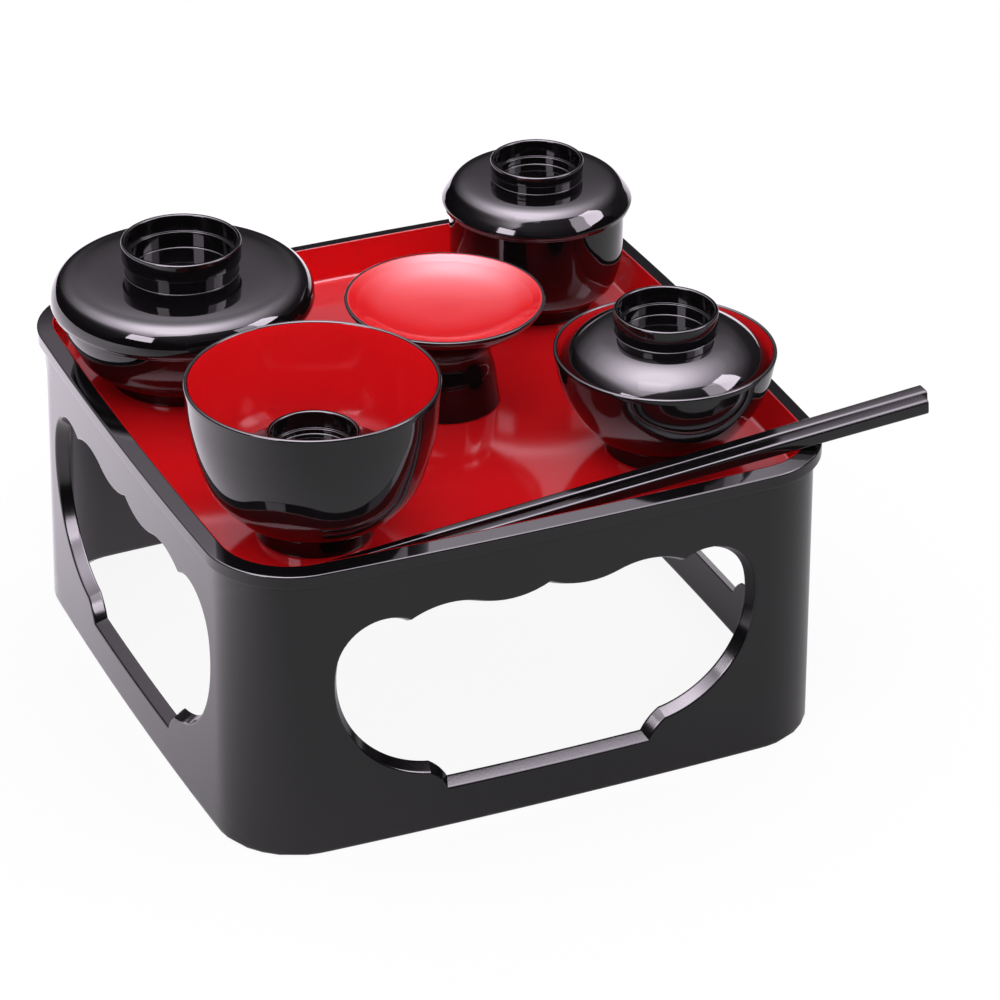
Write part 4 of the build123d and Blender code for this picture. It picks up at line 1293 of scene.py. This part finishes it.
def floor():
    """A plain white floor that keeps the object's shadow; the lacquer sees it glow behind."""
    material = bpy.data.materials.new("studio_floor")
    material.use_nodes = True
    nodes = material.node_tree.nodes
    link = material.node_tree.links.new
    nodes.clear()
    white = nodes.new("ShaderNodeEmission")
    white.inputs["Strength"].default_value = 1.0
    matt = nodes.new("ShaderNodeBsdfDiffuse")
    matt.inputs["Color"].default_value = FLOOR_COLOUR
    paper = nodes.new("ShaderNodeMixShader")
    paper.inputs["Fac"].default_value = FLOOR_SHADE
    link(white.outputs[0], paper.inputs[1])
    link(matt.outputs[0], paper.inputs[2])
    where = nodes.new("ShaderNodeTexCoord")
    apart = nodes.new("ShaderNodeSeparateXYZ")
    link(where.outputs["Object"], apart.inputs[0])
    sum_of = calculator(nodes, link)
    rightward = sum_of("MULTIPLY", apart.outputs["X"], FLOOR_GLOW_LEAN)
    behind = sum_of("SUBTRACT", apart.outputs["Y"], rightward)
    glow = nodes.new("ShaderNodeEmission")
    glow.inputs["Color"].default_value = (*ROOM_TINT, 1)
    strength = ranged_over(nodes, link, behind, *FLOOR_GLOW_RUN, *FLOOR_MIRRORED)
    link(strength, glow.inputs["Strength"])
    mirrored = nodes.new("ShaderNodeMixShader")
    mirrored.inputs["Fac"].default_value = FLOOR_MATT
    link(glow.outputs[0], mirrored.inputs[1])
    link(matt.outputs[0], mirrored.inputs[2])
    out = nodes.new("ShaderNodeOutputMaterial")
    mixed = by_ray(nodes, link, paper.outputs[0], mirrored.outputs[0], matt.outputs[0])
    link(mixed, out.inputs["Surface"])
    data = bpy.data.meshes.new("floor")
    half = FLOOR_HALF
    corners = [(-half, -half, 0), (half, -half, 0), (half, half, 0), (-half, half, 0)]
    data.from_pydata(corners, [], [(0, 1, 2, 3)])
    data.materials.append(material)
    obj = shown("floor", data)


def surroundings():
    """White to the camera and a plain level as a light; to the lacquer, lamps over a dark room."""
    world = bpy.data.worlds.new("studio")
    bpy.context.scene.world = world
    world.use_nodes = True
    world.cycles.sampling_method = "NONE"
    nodes = world.node_tree.nodes
    link = world.node_tree.links.new
    nodes.clear()
    where = nodes.new("ShaderNodeTexCoord")
    apart = nodes.new("ShaderNodeSeparateXYZ")
    link(where.outputs["Generated"], apart.inputs[0])
    x, y, z = apart.outputs
    sum_of = calculator(nodes, link)

    lean = sum_of("ADD", sum_of("MULTIPLY", x, CEILING_LEAN[0]),
                  sum_of("MULTIPLY", y, CEILING_LEAN[1]))
    height = sum_of("ADD", z, lean)
    levels = [(place, level / LAMP_LEVEL) for place, level in CEILING_LEVELS]
    ceiling = level_ramp(nodes, link, height, levels, ROOM_TINT)

    above = sum_of("MAXIMUM", z, LEAST_HEIGHT)
    forward = sum_of("DIVIDE", sum_of("MULTIPLY", y, -1.0), above)
    edge = (CEILING_FRONT_EDGE - CEILING_FRONT_BLUR, CEILING_FRONT_EDGE + CEILING_FRONT_BLUR)
    front = ranged_over(nodes, link, forward, *edge, 1.0, CEILING_FRONT_LEVEL)
    leftward = sum_of("DIVIDE", sum_of("MULTIPLY", x, -0.5), above)
    left = level_ramp(nodes, link, leftward, CEILING_LEFT_FADE)
    strength = sum_of("MULTIPLY", sum_of("MULTIPLY", front, left), LAMP_LEVEL)

    lamps = nodes.new("ShaderNodeBackground")
    link(ceiling, lamps.inputs["Color"])
    link(strength, lamps.inputs["Strength"])
    plain = nodes.new("ShaderNodeBackground")
    plain.inputs["Color"].default_value = (1, 1, 1, 1)
    plain.inputs["Strength"].default_value = PLAIN_LEVEL
    white = nodes.new("ShaderNodeBackground")
    white.inputs["Color"].default_value = (1, 1, 1, 1)
    out = nodes.new("ShaderNodeOutputWorld")
    mixed = by_ray(nodes, link, white.outputs[0], lamps.outputs[0], plain.outputs[0])
    link(mixed, out.inputs["Surface"])


def softbox(name, place, aim, size, brightness, only_mirrored=False):
    """A flat lamp; brightness is how bright its face looks, where 1 is white."""
    light = bpy.data.lights.new(name, "AREA")
    light.shape = "RECTANGLE"
    light.size, light.size_y = size
    light.energy = brightness * math.pi * size[0] * size[1]
    if only_mirrored:
        light.color = ROOM_TINT
    obj = shown(name, light)
    obj.location = place
    obj.rotation_euler = (Vector(aim) - Vector(place)).to_track_quat("-Z", "Y").to_euler()
    obj.visible_diffuse = not only_mirrored


def standing_strip(name, bearing, spread_angle, low_angle, top_angle, brightness):
    """An upright lamp beside the object, seen only in the lacquer; bearing is from the front.

    It starts well above the tray, so that the tray's floor hardly mirrors it in a low view.
    """
    away = STRIP_DISTANCE
    a = math.radians(bearing)
    width = 2 * away * math.tan(math.radians(spread_angle) / 2)
    low = cad_box[1][2] + away * math.tan(math.radians(low_angle))
    top = cad_box[1][2] + away * math.tan(math.radians(top_angle))
    middle = (low + top) / 2
    place = (away * math.sin(a), -away * math.cos(a), middle)
    softbox(name, place, (0, 0, middle), (width, top - low), brightness, only_mirrored=True)


def camera():
    data = bpy.data.cameras.new("camera")
    data.sensor_width = CAMERA_SENSOR
    data.lens = CAMERA_LENS
    data.clip_start, data.clip_end = CAMERA_REACH
    obj = shown("camera", data)
    obj.location = CAMERA_PLACE
    obj.rotation_euler = [math.radians(a) for a in CAMERA_TURN]
    bpy.context.scene.camera = obj


SURFACE_GROUP = surface_group()
BLACK_COLOURS = ((0.0035, 0.003, 0.0035), (0.0045, 0.0038, 0.0045))
BLACK = lacquer("black_lacquer", *BLACK_COLOURS, 0.05, (0.04, 0.07))
STAND_BLACK = lacquer("stand_black_lacquer", *BLACK_COLOURS, 0.08, (0.13, 0.17))
STICK_BLACK = lacquer("stick_black_lacquer", (0.0040, 0.0035, 0.0040), (0.0055, 0.0045, 0.0055),
                      0.08, (0.11, 0.15))
# Written brighter than the real red, to make up for the shade between the pieces.
RED = lacquer("red_lacquer", (0.70, 0.0075, 0.0115), (0.76, 0.0095, 0.0135), 0.05, (0.08, 0.12))
SECTION_TREE = carried_section_tree()
AXIS = turning_path()

tray()
leg_stand()
for bowl in BOWLS:
    turned(bowl, *bowl_section(bowl))
for lid in SUNK_LIDS:
    turned(lid, *sunk_lid_section(lid))
for lid in CAPPING_LIDS:
    turned(lid, *capping_lid_section(lid))
turned("footed_dish", *dish_section())
front_y = REAR_STICK_Y - STICK_BUTT[0] - FRONT_STICK_GAP
butt_x = TRAY_HALF + STICK_OVERHANG
chopstick("chopstick_rear", butt_x, REAR_STICK_Y)
chopstick("chopstick_front", butt_x + FRONT_STICK_SHIFT, front_y)
bpy.data.objects.remove(AXIS)
bpy.data.objects.remove(bpy.data.objects["rim_line"])

floor()
surroundings()
softbox("key", (-0.35, -0.45, 1.25), (0, 0, 0.1), (0.6, 0.5), 1.6)
standing_strip("left_strip", -63.5, 23, 22, 38, 15.0)
standing_strip("right_strip_near", 40, 20, 24, 46, 6.0)
standing_strip("right_strip_far", 62, 24, 24, 48, 15.0)
camera()

view = bpy.context.scene.view_settings
view.view_transform = "Standard"
